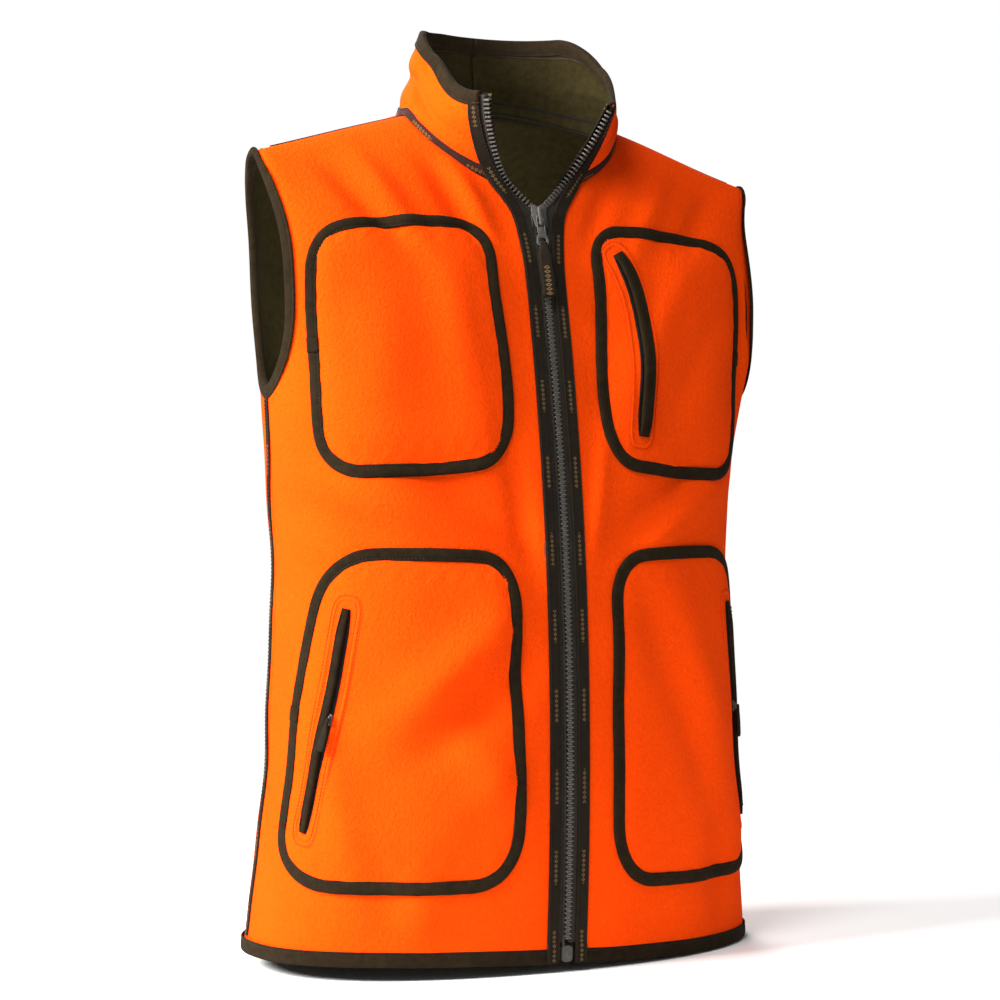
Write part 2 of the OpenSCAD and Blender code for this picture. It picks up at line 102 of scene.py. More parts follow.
def half_w(w):
    a, b = split(w)
    c = [HEM, HEM - 16, WAIST - 12, WAIST + 2, CHEST + 6, TIP]
    return np.where(w <= 1, bez(c, a), lerp(TIP, NECK, b))


def front_z(w):
    a, b = split(w)
    return np.where(w <= 1, bez([0, 185, 370, FRONT_Z1], a), lerp(FRONT_Z1, NECK_FRONT_Z, b))


def S_raw(t, w):
    t, w = np.broadcast_arrays(np.asarray(t, float), np.asarray(w, float))
    a, b = split(w)
    lo = w <= 1
    zs = np.where(lo, TIP_Z * a, lerp(TIP_Z, NECK_SIDE_Z, b))
    zf = front_z(w)
    zb = np.where(lo, bez([0, 205, 410, 600], a), lerp(600.0, NECK_BACK_Z, b))
    yb = np.where(lo, bez([112, 96, 100, 130, 118], a), lerp(118.0, 62.0, smooth(b)))
    ym = np.where(lo, bez([0, -4, -8, -15], a), lerp(-15.0, -10.0, b))
    s, c = np.sin(np.radians(t)), np.cos(np.radians(t))
    f, k = np.clip(c, 0, 1) ** POWER, np.clip(-c, 0, 1) ** POWER
    x = half_w(w) * np.sign(s) * np.abs(s) ** POWER
    y = ym + f * (arc_y(zf) - ym) + k * (yb - ym)
    z = zs + f ** 1.6 * (zf - zs) + k ** 1.6 * (zb - zs)
    return np.stack([x, y, z], -1)


def S(t, w):
    """The vest's surface, with the crease level with the shoulder tips rounded off."""
    t, w = np.broadcast_arrays(np.asarray(t, float), np.asarray(w, float))
    reach = np.minimum(CREASE_REACH * (1 - np.abs(np.sin(np.radians(t))) ** 10), np.minimum(w, TOP_W - w))
    reach = np.maximum(reach, 0)
    out = 0
    for k, g in CREASE_WEIGHTS:
        out = out + g * S_raw(t, w + k * reach)
    return out


def N(t, w):
    """Outward normals of the surface."""
    w = np.clip(w, 0.004, TOP_W - 0.004)
    return unit(np.cross(S(t + 0.4, w) - S(t - 0.4, w), S(t, w + 0.003) - S(t, w - 0.003)))


def gap(z):
    """Half the gap between the tooth rows."""
    return GAP_HALF * (np.clip(z - PART_Z, 0, None) / GAP_RISE) ** 0.9


def gap_edge(z):
    """Half gap at the cloth's edge, which spreads a little below the place where the rows part."""
    return np.sqrt(gap(z) ** 2 + (5.5 * smooth((z - 530) / 60)) ** 2)


def ang(x, w):
    """Angle at which the surface is x aside of the middle."""
    return np.degrees(np.arcsin(np.clip(x / half_w(w), 0, 1) ** (1 / POWER)))


def t_edge(w, x):
    return ang(x + gap_edge(front_z(w) + 1), w)


def arm_s(w):
    return np.clip((w - ARMPIT_W) / (1 - ARMPIT_W), 0, 1)


def arm_g(s):
    """How far the armhole is cut in, from 0 at the armpit to 1 halfway and 0 at the shoulder tip."""
    low = np.maximum(np.sin(np.pi * s), 0) ** 0.6
    return np.where(s < 0.5, low, 1 - np.clip((s - 0.5) / 0.5, 0, 1) ** 3.2)


def seam_t(w):
    return lerp(SEAM_LOW_T, SEAM_HIGH_T, w / ARMPIT_W)


def t_front(w):
    w = np.asarray(w, float)
    arm = 92.5 - 2.5 * arm_s(w) - 20 * arm_g(arm_s(w))
    return np.where(w <= ARMPIT_W, seam_t(w), np.where(w >= 1, 89.8, arm))


def t_back(w):
    w = np.asarray(w, float)
    arm = 93.5 - 2.5 * arm_s(w) + 19 * arm_g(arm_s(w))
    return np.where(w <= ARMPIT_W, seam_t(w) + 0.15, np.where(w >= 1, 90.2, arm))


# Soft folds: height mm, middle (x, z), direction from vertical in degrees, half width, half length.
FRONT_FOLDS = [
    (1.6, -82, 490, 6, 17, 80), (0.8, -52, 500, 4, 14, 70), (1.8, -140, 470, -6, 26, 60),
    (-2.6, -150, 585, 38, 10, 40), (2.4, -128, 590, 30, 10, 45), (-2.6, -75, 590, 30, 10, 40),
    (2.2, -56, 585, 25, 9, 40), (-3.0, -80, 352, 62, 16, 60), (2.4, -120, 345, 70, 14, 60),
    (3.8, -97, 221, -50, 19, 56), (-4.0, -78, 193, -50, 18, 58), (1.2, -62, 140, -50, 16, 55),
    (-2.2, -160, 330, 60, 12, 40), (2.6, -70, 150, 40, 18, 70), (-2.4, -30, 330, 15, 10, 60), (2.0, -175, 130, 8, 12, 80),
    (1.5, 95, 480, -30, 16, 80), (-1.2, 130, 450, -34, 14, 60), (-3.0, 90, 350, -55, 15, 60),
    (2.6, 120, 340, -60, 14, 60), (-2.8, 105, 200, 25, 18, 90), (2.8, 140, 190, 20, 18, 90),
    (-2.2, 60, 590, -30, 10, 40), (2.2, 110, 590, -32, 12, 45), (-2.0, 160, 585, -40, 12, 40),
    (1.8, 30, 345, -12, 9, 60), (-2.0, 160, 60, 0, 16, 50), (2.2, -120, 40, 0, 18, 40)]
BACK_FOLDS = [
    (3.0, -70, 520, 20, 22, 90), (3.0, 75, 515, -22, 22, 90), (-3.2, -120, 430, 40, 20, 80),
    (-3.2, 118, 425, -42, 20, 80), (3.4, 0, 300, 0, 30, 140), (-2.8, -60, 250, 10, 22, 110),
    (-2.6, 70, 245, -12, 22, 110), (2.6, -140, 200, 8, 20, 100), (2.6, 138, 190, -6, 20, 100),
    (-2.4, 20, 600, 70, 12, 70), (2.0, -20, 630, 85, 10, 60), (-2.2, 0, 380, 80, 14, 90)]


def drape(p):
    """Height of the cloth's folds over the plain surface, at surface points p."""
    x, y, z = p[..., 0], p[..., 1], p[..., 2]
    front = y < SIDE_Y
    out = np.zeros(x.shape)
    for folds, here in ((FRONT_FOLDS, front), (BACK_FOLDS, ~front)):
        h = np.zeros(x.shape)
        for amp, fx, fz, deg, wid, length in folds:
            a = math.radians(deg)
            u = (x - fx) * math.cos(a) + (z - fz) * math.sin(a)
            v = -(x - fx) * math.sin(a) + (z - fz) * math.cos(a)
            h += amp * np.exp(-(u / wid) ** 2 - (v / length) ** 2)
        out += np.where(here, h, 0)
    wave = (np.sin(x / 31 + 1.3 * np.sin(z / 57)) * np.sin(z / 43 + 0.7 * np.sin(x / 39 + 1))
            + 0.5 * np.sin(x / 17 + z / 23 + 2) * np.sin(z / 29 - x / 41))
    out += 0.75 * wave
    keep = np.where(front, smooth((np.abs(x) - 12) / 30), 1) * smooth(z / 40)
    keep = keep * smooth(np.abs(y - SIDE_Y) / 26) * smooth((NECK_FRONT_Z + 60 - z) / 70)
    # the left armhole's edge opens outward
    flare = smooth((x - 140) / 60) * smooth((z - 380) / 100) * smooth((590 - z) / 80)
    flare = flare * smooth((12 - y) / 32)
    open_edge = smooth((y + 100) / 50) * 3 + smooth((y + 60) / 20) * 10
    return FOLD_GAIN * out * keep + open_edge * flare


def drape_side(p, k):
    """Folds at points of the surface of side k, which are held as if they were on the left."""
    return drape(p * np.array([k, 1, 1]))


def draped(t, w, k):
    """Points on the draped surface of side k, and their normals."""
    p, n = S(t, w), N(t, w)
    return p + n * drape_side(p, k)[..., None], n


# ---------------------------------------------------------------- mesh tools
def sway(p):
    """The worn-in set of the whole vest: sides and back lean to the wearer's left of the zip."""
    p = np.array(p, float)
    x, y, z = p[:, 0].copy(), p[:, 1], p[:, 2].copy()
    collar_y = lerp(-66.0, -88.0, np.clip((z - NECK_FRONT_Z) / 68, 0, 1))
    front = np.where(z < NECK_FRONT_Z, arc_y(np.clip(z, 0, NECK_FRONT_Z)), collar_y)
    s = smooth(1 - y / front)
    p[:, 0] = x + (7 + 8 * smooth((z - 640) / 60)) * s
    p[:, 0] += 6 * smooth(-x / 70) * smooth((z - 650) / 50)
    # the collar's back, the shoulder tips and the hem hang lower
    p[:, 2] = z - 7 * smooth((z - 690) / 60) * smooth((y + 40) / 80)
    p[:, 2] -= 4 * smooth((-x - 30) / 45) * smooth((z - 700) / 45)
    p[:, 2] -= (1 + 3 * smooth(x / 100)) * smooth((np.abs(x) - 110) / 100) * smooth((z - 560) / 60)
    p[:, 2] -= (3 + 11 * smooth((x + 200) / 400)) * smooth((260 - z) / 260)
    return p


def make(name, verts, faces, mat, uv=None, worn=True):
    """An object from vertices in mm; uv holds one pair per vertex, also in mm."""
    mesh = bpy.data.meshes.new(name)
    verts = sway(verts) if worn else np.asarray(verts, float)
    mesh.from_pydata((verts / 1000).tolist(), [], [list(map(int, f)) for f in faces])
    mesh.validate()
    if uv is not None:
        loops = np.zeros(len(mesh.loops), int)
        mesh.loops.foreach_get("vertex_index", loops)
        layer = mesh.uv_layers.new(name="UVMap")
        layer.data.foreach_set("uv", np.asarray(uv, float)[loops].astype(np.float32).ravel())
    mesh.polygons.foreach_set("use_smooth", [True] * len(mesh.polygons))
    mesh.update()
    obj = bpy.data.objects.new(name, mesh)
    bpy.context.scene.collection.objects.link(obj)
    obj.data.materials.append(mat)
    return obj


def mirror(p):
    p = np.array(p, float)
    p[..., 0] *= -1
    return p


def shell(name, a, b, mat, sign=1.0):
    """Closed sheet between two grids; grids run left to right and upwards seen from outside."""
    n, m = a.shape[:2]
    if sign < 0:
        a, b = mirror(a)[:, ::-1], mirror(b)[:, ::-1]
    k = n * m
    i, j = np.meshgrid(np.arange(n - 1), np.arange(m - 1), indexing="ij")
    q = (i * m + j).ravel()
    top = np.stack([q, q + 1, q + m + 1, q + m], 1)
    low = np.stack([q + k, q + k + m, q + k + m + 1, q + k + 1], 1)
    ring = np.concatenate([np.arange(m), np.arange(1, n) * m + m - 1,
                           (n - 1) * m + np.arange(m - 2, -1, -1), np.arange(n - 2, 0, -1) * m])
    after = np.roll(ring, -1)
    rim = np.stack([ring, ring + k, after + k, after], 1)
    v = np.concatenate([a.reshape(-1, 3), b.reshape(-1, 3)])
    return make(name, v, np.concatenate([top, low, rim]).tolist(), mat)


def sheet(name, p, n, skin, mat, sign=1.0):
    """Fabric sheet over a grid of points p with normals n; its edges are rounded over."""
    e = np.ones(p.shape[:2])
    for i, share in ((0, 0.25), (1, 0.7)):
        for edge in (e[i], e[-1 - i], e[:, i], e[:, -1 - i]):
            np.minimum(edge, share, out=edge)
    mid, h = (skin[0] + skin[1]) / 2, (skin[1] - skin[0]) / 2
    return shell(name, p + n * (mid + h * e)[..., None], p + n * (mid - h * e)[..., None], mat, sign)


def resample(pts, step, closed=False, extra=None):
    """Points every step along a polyline; extra arrays are carried along."""
    p = np.asarray(pts, float)
    arrays = [p] + ([] if extra is None else [np.asarray(e, float) for e in extra])
    if closed:
        arrays = [np.concatenate([a, a[:1]]) for a in arrays]
    d = np.concatenate([[0], np.cumsum(np.linalg.norm(np.diff(arrays[0], axis=0), axis=1))])
    n = max(2, int(round(d[-1] / step)))
    at = np.linspace(0, d[-1], n + 1)
    if closed:
        at = at[:-1]
    out = [np.stack([np.interp(at, d, a[:, i]) for i in range(a.shape[1])], 1) for a in arrays]
    return out if extra is not None else out[0]


def soften(p, times, closed=False):
    """A smoother polyline: each point drawn towards its neighbours."""
    p = np.array(p, float)
    for _ in range(times):
        q = (np.roll(p, 1, 0) + 2 * p + np.roll(p, -1, 0)) / 4
        if not closed:
            q[0], q[-1] = p[0], p[-1]
        p = q
    return p


def frames(path, nrm, closed=False):
    """Unit vectors at each point of a path: along it, across it, and outward."""
    if closed:
        t = unit(np.roll(path, -1, 0) - np.roll(path, 1, 0))
    else:
        t = unit(np.gradient(path, axis=0))
    b = unit(np.cross(t, nrm))
    return t, b, np.cross(b, t)


def sweep_data(path, nrm, prof, closed=False, scale=None):
    """Profile of (across, out) points swept along path; across points along tangent x normal."""
    prof = np.asarray(prof, float)
    n, k = len(path), len(prof)
    _, b, o = frames(path, nrm, closed)
    s = np.ones((n, 2)) if scale is None else scale
    v = (path[:, None] + b[:, None] * (prof[None, :, :1] * s[:, None, :1])
         + o[:, None] * (prof[None, :, 1:] * s[:, None, 1:]))
    i = np.arange(n if closed else n - 1)[:, None]
    j = np.arange(k)[None]
    row, after, j2 = i * k, ((i + 1) % n) * k, (j + 1) % k
    f = np.stack([row + j, row + j2, after + j2, after + j], -1).reshape(-1, 4).tolist()
    if not closed:
        f += [list(range(k))[::-1], [(n - 1) * k + q for q in range(k)]]
    along = np.concatenate([[0], np.cumsum(np.linalg.norm(np.diff(path, axis=0), axis=1))])
    uv = np.stack(np.broadcast_arrays(along[:, None], prof[None, :, 0]), -1).reshape(-1, 2)
    return v.reshape(-1, 3), f, uv


def turned(f):
    """Faces with their other side outward."""
    return [list(q)[::-1] for q in f]


def flip(v, f, sign):
    if sign > 0:
        return v, f
    return mirror(v), turned(f)


def sweep(name, path, nrm, prof, mat, closed=False, sign=1.0, scale=None):
    v, f, uv = sweep_data(path, nrm, prof, closed, scale)
    v, f = flip(v, f, sign)
    return make(name, v, f, mat, uv)


def stamp(name, parts, mat, at, ax, sign=1.0):
    """One small mesh (vertices, faces) repeated at points with 3x3 frames, joined as one object."""
    v0, f0 = parts
    v = np.einsum("nij,kj->nki", ax, v0) + at[:, None]
    k = len(v0)
    f = [[q + i * k for q in face] for i in range(len(at)) for face in f0]
    v, f = flip(v.reshape(-1, 3), f, sign)
    return make(name, v, f, mat)


def blob(rx, ry, rz, n=8, m=5, e=1.0):
    """A rounded lozenge as vertices and faces."""
    v, f = [], []
    for i in range(1, m):
        a = math.pi * i / m
        for j in range(n):
            b = 2 * math.pi * j / n
            r = math.sin(a) ** e
            v.append([rx * r * np.sign(math.cos(b)) * abs(math.cos(b)) ** e,
                      ry * r * np.sign(math.sin(b)) * abs(math.sin(b)) ** e,
                      -rz * np.sign(math.cos(a)) * abs(math.cos(a)) ** e])
    rows = m - 1
    v += [[0, 0, -rz], [0, 0, rz]]
    for i in range(rows - 1):
        for j in range(n):
            f.append([i * n + j, i * n + (j + 1) % n, (i + 1) * n + (j + 1) % n, (i + 1) * n + j])
    for j in range(n):
        f.append([rows * n, (j + 1) % n, j])
        f.append([rows * n + 1, (rows - 1) * n + j, (rows - 1) * n + (j + 1) % n])
    return np.array(v, float), f


def stitches(name, path, nrm, across, height, mat, sign=1.0, closed=False, pitch=3.0):
    """A row of thread stitches lying along a path, at a distance across it."""
    _, b, o = frames(path, nrm, closed)
    p, out = resample(path + b * across + o * height, pitch, closed, [o])
    t, b, o = frames(p, out, closed)
    return stamp(name, blob(0.42, 0.34, pitch * 0.41, 6, 4, 0.8), mat, p, np.stack([b, o, t], -1), sign)


def edge_rows(stem, side, path, nrm, across, height):
    """Stitch rows a and b near the two edges of a tape."""
    return [stitches("%s_%s_%s" % (stem, m, side), path, nrm, v, height, THREAD, SIDES[side])
            for m, v in (("a", -across), ("b", across))]


def profile(points, turns=2):
    """A closed profile with its corners cut round."""
    p = np.array(points, float)
    for _ in range(turns):
        q = np.roll(p, -1, 0)
        p = np.stack([0.75 * p + 0.25 * q, 0.25 * p + 0.75 * q], 1).reshape(-1, 2)
    return p


# ---------------------------------------------------------------- materials
class Nodes:
    """Small helper to wire a material."""

    def __init__(self, name):
        self.mat = bpy.data.materials.new(name)
        self.mat.use_nodes = True
        self.t = self.mat.node_tree
        self.bsdf = next(n for n in self.t.nodes if n.type == "BSDF_PRINCIPLED")

    def add(self, kind, **values):
        n = self.t.nodes.new(kind)
        for k, v in values.items():
            if k in n.inputs:
                n.inputs[k].default_value = v
            else:
                setattr(n, k, v)
        return n

    def link(self, a, b):
        self.t.links.new(a, b)

    def math(self, op, a, b=None):
        n = self.t.nodes.new("ShaderNodeMath")
        n.operation = op
        for i, v in enumerate((a, b)):
            if v is None:
                continue
            if isinstance(v, (int, float)):
                n.inputs[i].default_value = v
            else:
                self.link(v, n.inputs[i])
        return n.outputs[0]

    def noise(self, scale, detail=2.0, rough=0.5):
        tc = self.add("ShaderNodeTexCoord")
        n = self.add("ShaderNodeTexNoise", Scale=scale, Detail=detail, Roughness=rough)
        self.link(tc.outputs["Object"], n.inputs["Vector"])
        return n.outputs["Fac"]

    def uv(self):
        """Millimetres along and across a swept piece."""
        tc = self.add("ShaderNodeTexCoord")
        sep = self.add("ShaderNodeSeparateXYZ")
        self.link(tc.outputs["UV"], sep.inputs[0])
        return sep.outputs[0], sep.outputs[1]

    def mix(self, fac, a, b):
        n = self.t.nodes.new("ShaderNodeMix")
        n.data_type = "RGBA"
        self.link(fac, n.inputs["Factor"])
        for key, v in (("A", a), ("B", b)):
            sock = [s for s in n.inputs if s.name == key and s.type == "RGBA"][0]
            if isinstance(v, tuple):
                sock.default_value = (*v, 1)
            else:
                self.link(v, sock)
        return [s for s in n.outputs if s.type == "RGBA"][0]

    def ramp(self, fac, lo, hi):
        n = self.t.nodes.new("ShaderNodeMapRange")
        self.link(fac, n.inputs["Value"])
        n.inputs["From Min"].default_value = lo
        n.inputs["From Max"].default_value = hi
        return n.outputs[0]

    def bump(self, height, distance, strength=1.0, below=None):
        n = self.add("ShaderNodeBump", Strength=strength, Distance=distance)
        self.link(height, n.inputs["Height"])
        if below is not None:
            self.link(below, n.inputs["Normal"])
        return n.outputs[0]


def fabric(name, dark, light, tint, rough, sheen, fuzz=0.0001, pile=0.0001, weave=None, gloss=0.12, nap=160):
    """Knitted or woven cloth: mottled colour, nap, and a fine weave where one is asked for."""
    n = Nodes(name)
    big, mid, fine = n.noise(14, 3), n.noise(nap, 4, 0.6), n.noise(750, 3, 0.7)
    mott = n.math("ADD", n.math("MULTIPLY", big, 0.3), n.math("MULTIPLY", mid, 0.45))
    mott = n.math("ADD", mott, n.math("MULTIPLY", fine, 0.25))
    n.link(n.mix(n.ramp(mott, 0.36, 0.64), dark, light), n.bsdf.inputs["Base Color"])
    for key, value in (("Roughness", rough), ("Specular IOR Level", gloss), ("Sheen Weight", sheen),
                       ("Sheen Roughness", 0.5), ("Sheen Tint", (*tint, 1))):
        n.bsdf.inputs[key].default_value = value
    b = n.bump(fine, fuzz, 0.9, n.bump(mid, pile, 0.9))
    if weave:
        u, v = (n.math("SINE", n.math("MULTIPLY", x, 2 * math.pi / w)) for x, w in zip(n.uv(), weave))
        b = n.bump(n.math("MULTIPLY", u, v), 0.0002, 0.8, b)
    n.link(b, n.bsdf.inputs["Normal"])
    return n


def marked_tape(*args, thread, period=60.0, share=0.42, step=3.6, half=1.7, **kwargs):
    """Woven tape with groups of hollow lozenges along it and plain tape between the groups."""
    n = fabric(*args, **kwargs)
    u, v = n.uv()
    group = n.math("LESS_THAN", n.math("FRACT", n.math("DIVIDE", u, period)), share)
    slant = n.math("ABSOLUTE", n.math("SUBTRACT", n.math("FRACT", n.math("DIVIDE", u, step)), 0.5))
    lozenge = n.math("ADD", n.math("MULTIPLY", slant, 2.2), n.math("DIVIDE", n.math("ABSOLUTE", v), half))
    ring = n.math("MULTIPLY", n.math("LESS_THAN", lozenge, 0.95), n.math("GREATER_THAN", lozenge, 0.4))
    plain = n.bsdf.inputs["Base Color"].links[0].from_socket
    n.link(n.mix(n.math("MULTIPLY", group, ring), plain, thread), n.bsdf.inputs["Base Color"])
    return n


def metal(name, dark, light, rough, metallic):
    n = Nodes(name)
    n.link(n.mix(n.ramp(n.noise(420, 5, 0.6), 0.35, 0.7), dark, light), n.bsdf.inputs["Base Color"])
    n.bsdf.inputs["Metallic"].default_value = metallic
    r = n.math("ADD", n.math("MULTIPLY", n.noise(900, 3), 0.25), rough - 0.12)
    n.link(r, n.bsdf.inputs["Roughness"])
    n.link(n.bump(n.noise(1500, 4), 0.00006, 0.6), n.bsdf.inputs["Normal"])
    return n


# dark and light colour, sheen tint, roughness, sheen
FLEECE = fabric("fleece", (0.82, 0.050, 0.0010), (0.95, 0.067, 0.0014), (1.0, 0.12, 0.004), 0.96, 0.06,
                fuzz=0.0008, pile=0.0009, gloss=0.03, nap=330).mat
BIND = fabric("binding", (0.0095, 0.0058, 0.0022), (0.023, 0.0145, 0.0062), (0.30, 0.22, 0.13), 0.88, 0.04,
              fuzz=0.0002, pile=0.0002, weave=(0.9, 0.9), gloss=0.06).mat
LINING = fabric("lining", (0.0125, 0.0092, 0.0028), (0.026, 0.0195, 0.0070), (0.25, 0.22, 0.12), 0.95, 0.03,
                fuzz=0.0005, pile=0.0004, gloss=0.03).mat
TAPE = marked_tape("tape", (0.0075, 0.0048, 0.0022), (0.015, 0.0098, 0.0048), (0.2, 0.15, 0.1), 0.85, 0.03,
                   fuzz=0.0002, weave=(1.1, 0.8), thread=(0.13, 0.082, 0.034)).mat
NECKTAPE = marked_tape("neck_tape", (0.020, 0.0068, 0.0040), (0.034, 0.0120, 0.0070), (0.3, 0.12, 0.08),
                       0.75, 0.05, fuzz=0.0002, weave=(1.1, 0.8), thread=(0.16, 0.072, 0.020)).mat
ZIPTAPE = fabric("zip_tape", (0.022, 0.0185, 0.0145), (0.042, 0.036, 0.029), (0.3, 0.28, 0.25), 0.85, 0.08,
                 weave=(1.0, 1.0)).mat
THREAD = fabric("thread_olive", (0.010, 0.0068, 0.0035), (0.022, 0.015, 0.008), (0.2, 0.16, 0.1), 0.7, 0.08).mat
THREAD_ORANGE = fabric("thread_orange", (0.50, 0.026, 0.001), (0.66, 0.040, 0.001), (1.0, 0.2, 0.02),
                       0.8, 0.05).mat
# near-black: painted shade in the pocket slits and along the neck rib's edges, and the dark coils inside the
# slits
COIL_AND_SHADE_BLACK = fabric("gap", (0.006, 0.005, 0.004), (0.012, 0.010, 0.008), (0.1, 0.1, 0.1), 0.9, 0.0).mat
PLASTIC = metal("teeth", (0.050, 0.043, 0.035), (0.10, 0.088, 0.074), 0.5, 0.2).mat
ZINC = metal("zinc", (0.036, 0.033, 0.028), (0.070, 0.064, 0.055), 0.56, 0.25).mat


def bend(obj):
    """A front piece, with its transform baked into its mesh."""
    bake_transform(obj)
    return obj


def fixed(obj, body="torso"):
    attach(obj, body)
    return obj


def claim(obj, slot, *nodes):
    """Hides the CAD nodes that a piece stands for; the material slot is not used."""
    if nodes:
        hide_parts(*nodes)
    return obj


# ---------------------------------------------------------------- body panels
BODY_ROWS = np.concatenate([lerp(LOW_W, ARMPIT_W, np.linspace(0, 1, 92)[:-1]),
                            lerp(ARMPIT_W, 1, np.linspace(0, 1, 48)[:-1] ** 1.5),
                            lerp(1, TOP_W, np.linspace(0, 1, 24))])


def body_sheet(name, ta, tb, cols, skin, mat, k):
    """Sheet of side k that reaches round the body between the angles ta and tb of every row."""
    t = lerp(ta[:, None], tb[:, None], np.linspace(0, 1, cols + 1)[None])
    p, n = draped(t, np.repeat(BODY_ROWS[:, None], cols + 1, 1), k)
    return sheet(name, p, n, skin, mat, k)


def body_panels():
    w = BODY_ROWS
    for side, k in SIDES.items():
        span = t_edge(w, 9.6), t_front(w), 76
        o = bend(body_sheet("front_" + side, *span, FLEECE_SKIN, FLEECE, k))
        claim(o, "fleece", "front_edge_" + side, "fold_outer_" + side, "side_outer_" + side)
        o = bend(body_sheet("front_lining_" + side, *span, LINING_SKIN, LINING, k))
        claim(o, "lining", "front_edge_lining_" + side, "fold_lining_" + side, "side_lining_" + side)
    span = t_back(w), 360 - t_back(w), 130
    claim(fixed(body_sheet("back_panel", *span, FLEECE_SKIN, FLEECE, 1.0)), "fleece", "back_outer")
    claim(fixed(body_sheet("back_lining_panel", *span, LINING_SKIN, LINING, 1.0)), "lining", "back_lining")


# ---------------------------------------------------------------- collar
COLLAR_T, COLLAR_FOOT_T = 48.0, t_edge(TOP_W, 8)
COLLAR_FRONT_Z, COLLAR_TOP_Z = 671.0, 751.0


def C(s, q):
    """Collar surface: s from the zip edge to the middle of the back, q upwards."""
    s, q = np.broadcast_arrays(np.asarray(s, float), np.asarray(q, float))
    t = lerp(COLLAR_T, 180.0, s)
    sn, cs = np.sin(np.radians(t)), np.cos(np.radians(t))
    f, b = np.clip(cs, 0, 1) ** POWER, np.clip(-cs, 0, 1) ** POWER
    top = np.stack([80 * np.clip(sn, 0, 1) ** POWER, -10 - 112 * f + 76 * b,
                    lerp(COLLAR_FRONT_Z, COLLAR_TOP_Z, smooth((t - COLLAR_T) / 80))], -1)
    low = S(lerp(COLLAR_FOOT_T, 180, s), np.full(s.shape, TOP_W))
    bow = np.stack([5 * np.sin(np.pi * q) * sn, 4 * np.sin(np.pi * q) * b, 0 * q], -1)
    return lerp(low, top, q[..., None]) + bow


def CN(s, q):
    """Outward normals of the collar."""
    s, q = np.clip(s, 0.01, 0.985), np.clip(q, 0.02, 0.98)
    return unit(np.cross(C(s + 0.01, q) - C(s - 0.01, q), C(s, q + 0.02) - C(s, q - 0.02)))


def bell(v, at, width):
    return np.exp(-((v - at) / width) ** 2)


def collar_folds(s, q):
    """The collar slumps a little: a roll above the seam and a shallow hollow above that."""
    h = 3.4 * bell(q, 0.22, 0.11) - 2.6 * bell(q, 0.42, 0.07) + 1.8 * bell(q, 0.62, 0.16)
    front = 1.4 * bell(s, 0.16, 0.08) * np.sin(np.pi * q)
    back = 1.2 * np.sin(9 * s + 5 * q) * np.sin(np.pi * q) * smooth((s - 0.5) / 0.3)
    ends = smooth((1 - q) / 0.12) * smooth(q / 0.06) * smooth(s / 0.05)
    return (h * bell(s, 0.42, 0.26) + front + back) * ends


def on_collar(s, q):
    s, q = np.broadcast_arrays(np.asarray(s, float), np.asarray(q, float))
    return C(s, q) + CN(s, q) * collar_folds(s, q)[..., None]


def collar_line(s, q, q_normal):
    """A path along the collar at height q, with the normals of height q_normal."""
    path, nrm = resample(on_collar(s, q), 2.5, extra=[CN(s, q_normal + 0 * s)])
    return path, unit(nrm)


def wrap(front, back, edge=1.6, o_top=3.1, o_low=-3.3, thick=1.5, groove=2.2):
    """Profile of a binding folded over an edge, with a stitch groove in each face."""
    pts = [(front, o_top - thick), (front, o_top - 0.25), (front - groove + 0.8, o_top),
           (front - groove, o_top - 0.55), (front - groove - 0.8, o_top + 0.05),
           (1.0, o_top + 0.25), (-edge + 0.5, o_top - 0.35), (-edge, 0.4), (-edge, -0.6),
           (-edge + 0.5, o_low + 0.35), (1.0, o_low - 0.2), (back - groove - 0.8, o_low - 0.05),
           (back - groove, o_low + 0.55), (back - groove + 0.8, o_low), (back, o_low + 0.25),
           (back, o_low + thick), (0.4, o_low + thick), (0.4, o_top - thick)]
    return profile(pts, 1)


def collar():
    s = np.linspace(0, 1, 96)
    sg, qg = np.meshgrid(s, np.linspace(0.0, 0.985, 30))
    p, n = on_collar(sg, qg), CN(sg, qg)
    neck = profile([(-5, 1.5), (-5, 2.6), (-3.4, 3.1), (0, 3.3), (3.4, 3.1), (5, 2.6), (5, 1.5)][::-1], 1)
    rib = profile([(-5, -1.7), (-4.6, -4.2), (4.6, -4.2), (5, -1.7)], 2)
    cord = profile([(-0.8, -1.6), (-0.8, -2.4), (0.8, -2.4), (0.8, -1.6)], 1)
    seam_s = np.linspace(0.05, 1, 90)
    for side, k in SIDES.items():
        o = bend(sheet("collar_" + side, p, n, FLEECE_SKIN, FLEECE, k))
        claim(o, "fleece", "collar_outer")
        o = bend(sheet("collar_lining_" + side, p, n, LINING_SKIN, LINING, k))
        claim(o, "lining", "collar_lining")
        line = collar_line(s, 0.985, 0.97)
        o = bend(sweep("collar_bind_" + side, *line, wrap(9.5, 12.5), BIND, sign=k))
        claim(o, "binding", "collar_binding")
        bend(stitches("collar_bind_thread_" + side, *line, 7.3, 2.75, THREAD, k))
        bend(stitches("collar_bind_thread_in_" + side, *line, 10.2, -2.95, THREAD, k))
        line = collar_line(s, 0.035, 0.05)
        o = bend(sweep("neck_tape_" + side, *line, neck, NECKTAPE, sign=k))
        claim(o, "binding", "neck_tape")
        for row in edge_rows("neck_tape_thread", side, *line, 4.1, 3.0):
            bend(row)
        claim(bend(sweep("neck_rib_" + side, *line, rib, LINING, sign=k)), "lining")
        # near-black strips along the neck rib's edges: painted shade of the seam line
        for m, v in (("a", -5.4), ("b", 5.4)):
            edge = profile([(v - 0.9, -1.6), (v - 0.9, -4.4), (v + 0.9, -4.4), (v + 0.9, -1.6)], 1)
            bend(sweep("neck_rib_edge_%s_%s" % (m, side), *line, edge, COIL_AND_SHADE_BLACK, sign=k))
        for m, v in (("a", 0.80), ("b", 0.06)):
            line = collar_line(seam_s, v, v)
            bend(sweep("collar_seam_%s_%s" % (m, side), *line, cord, THREAD, sign=k))


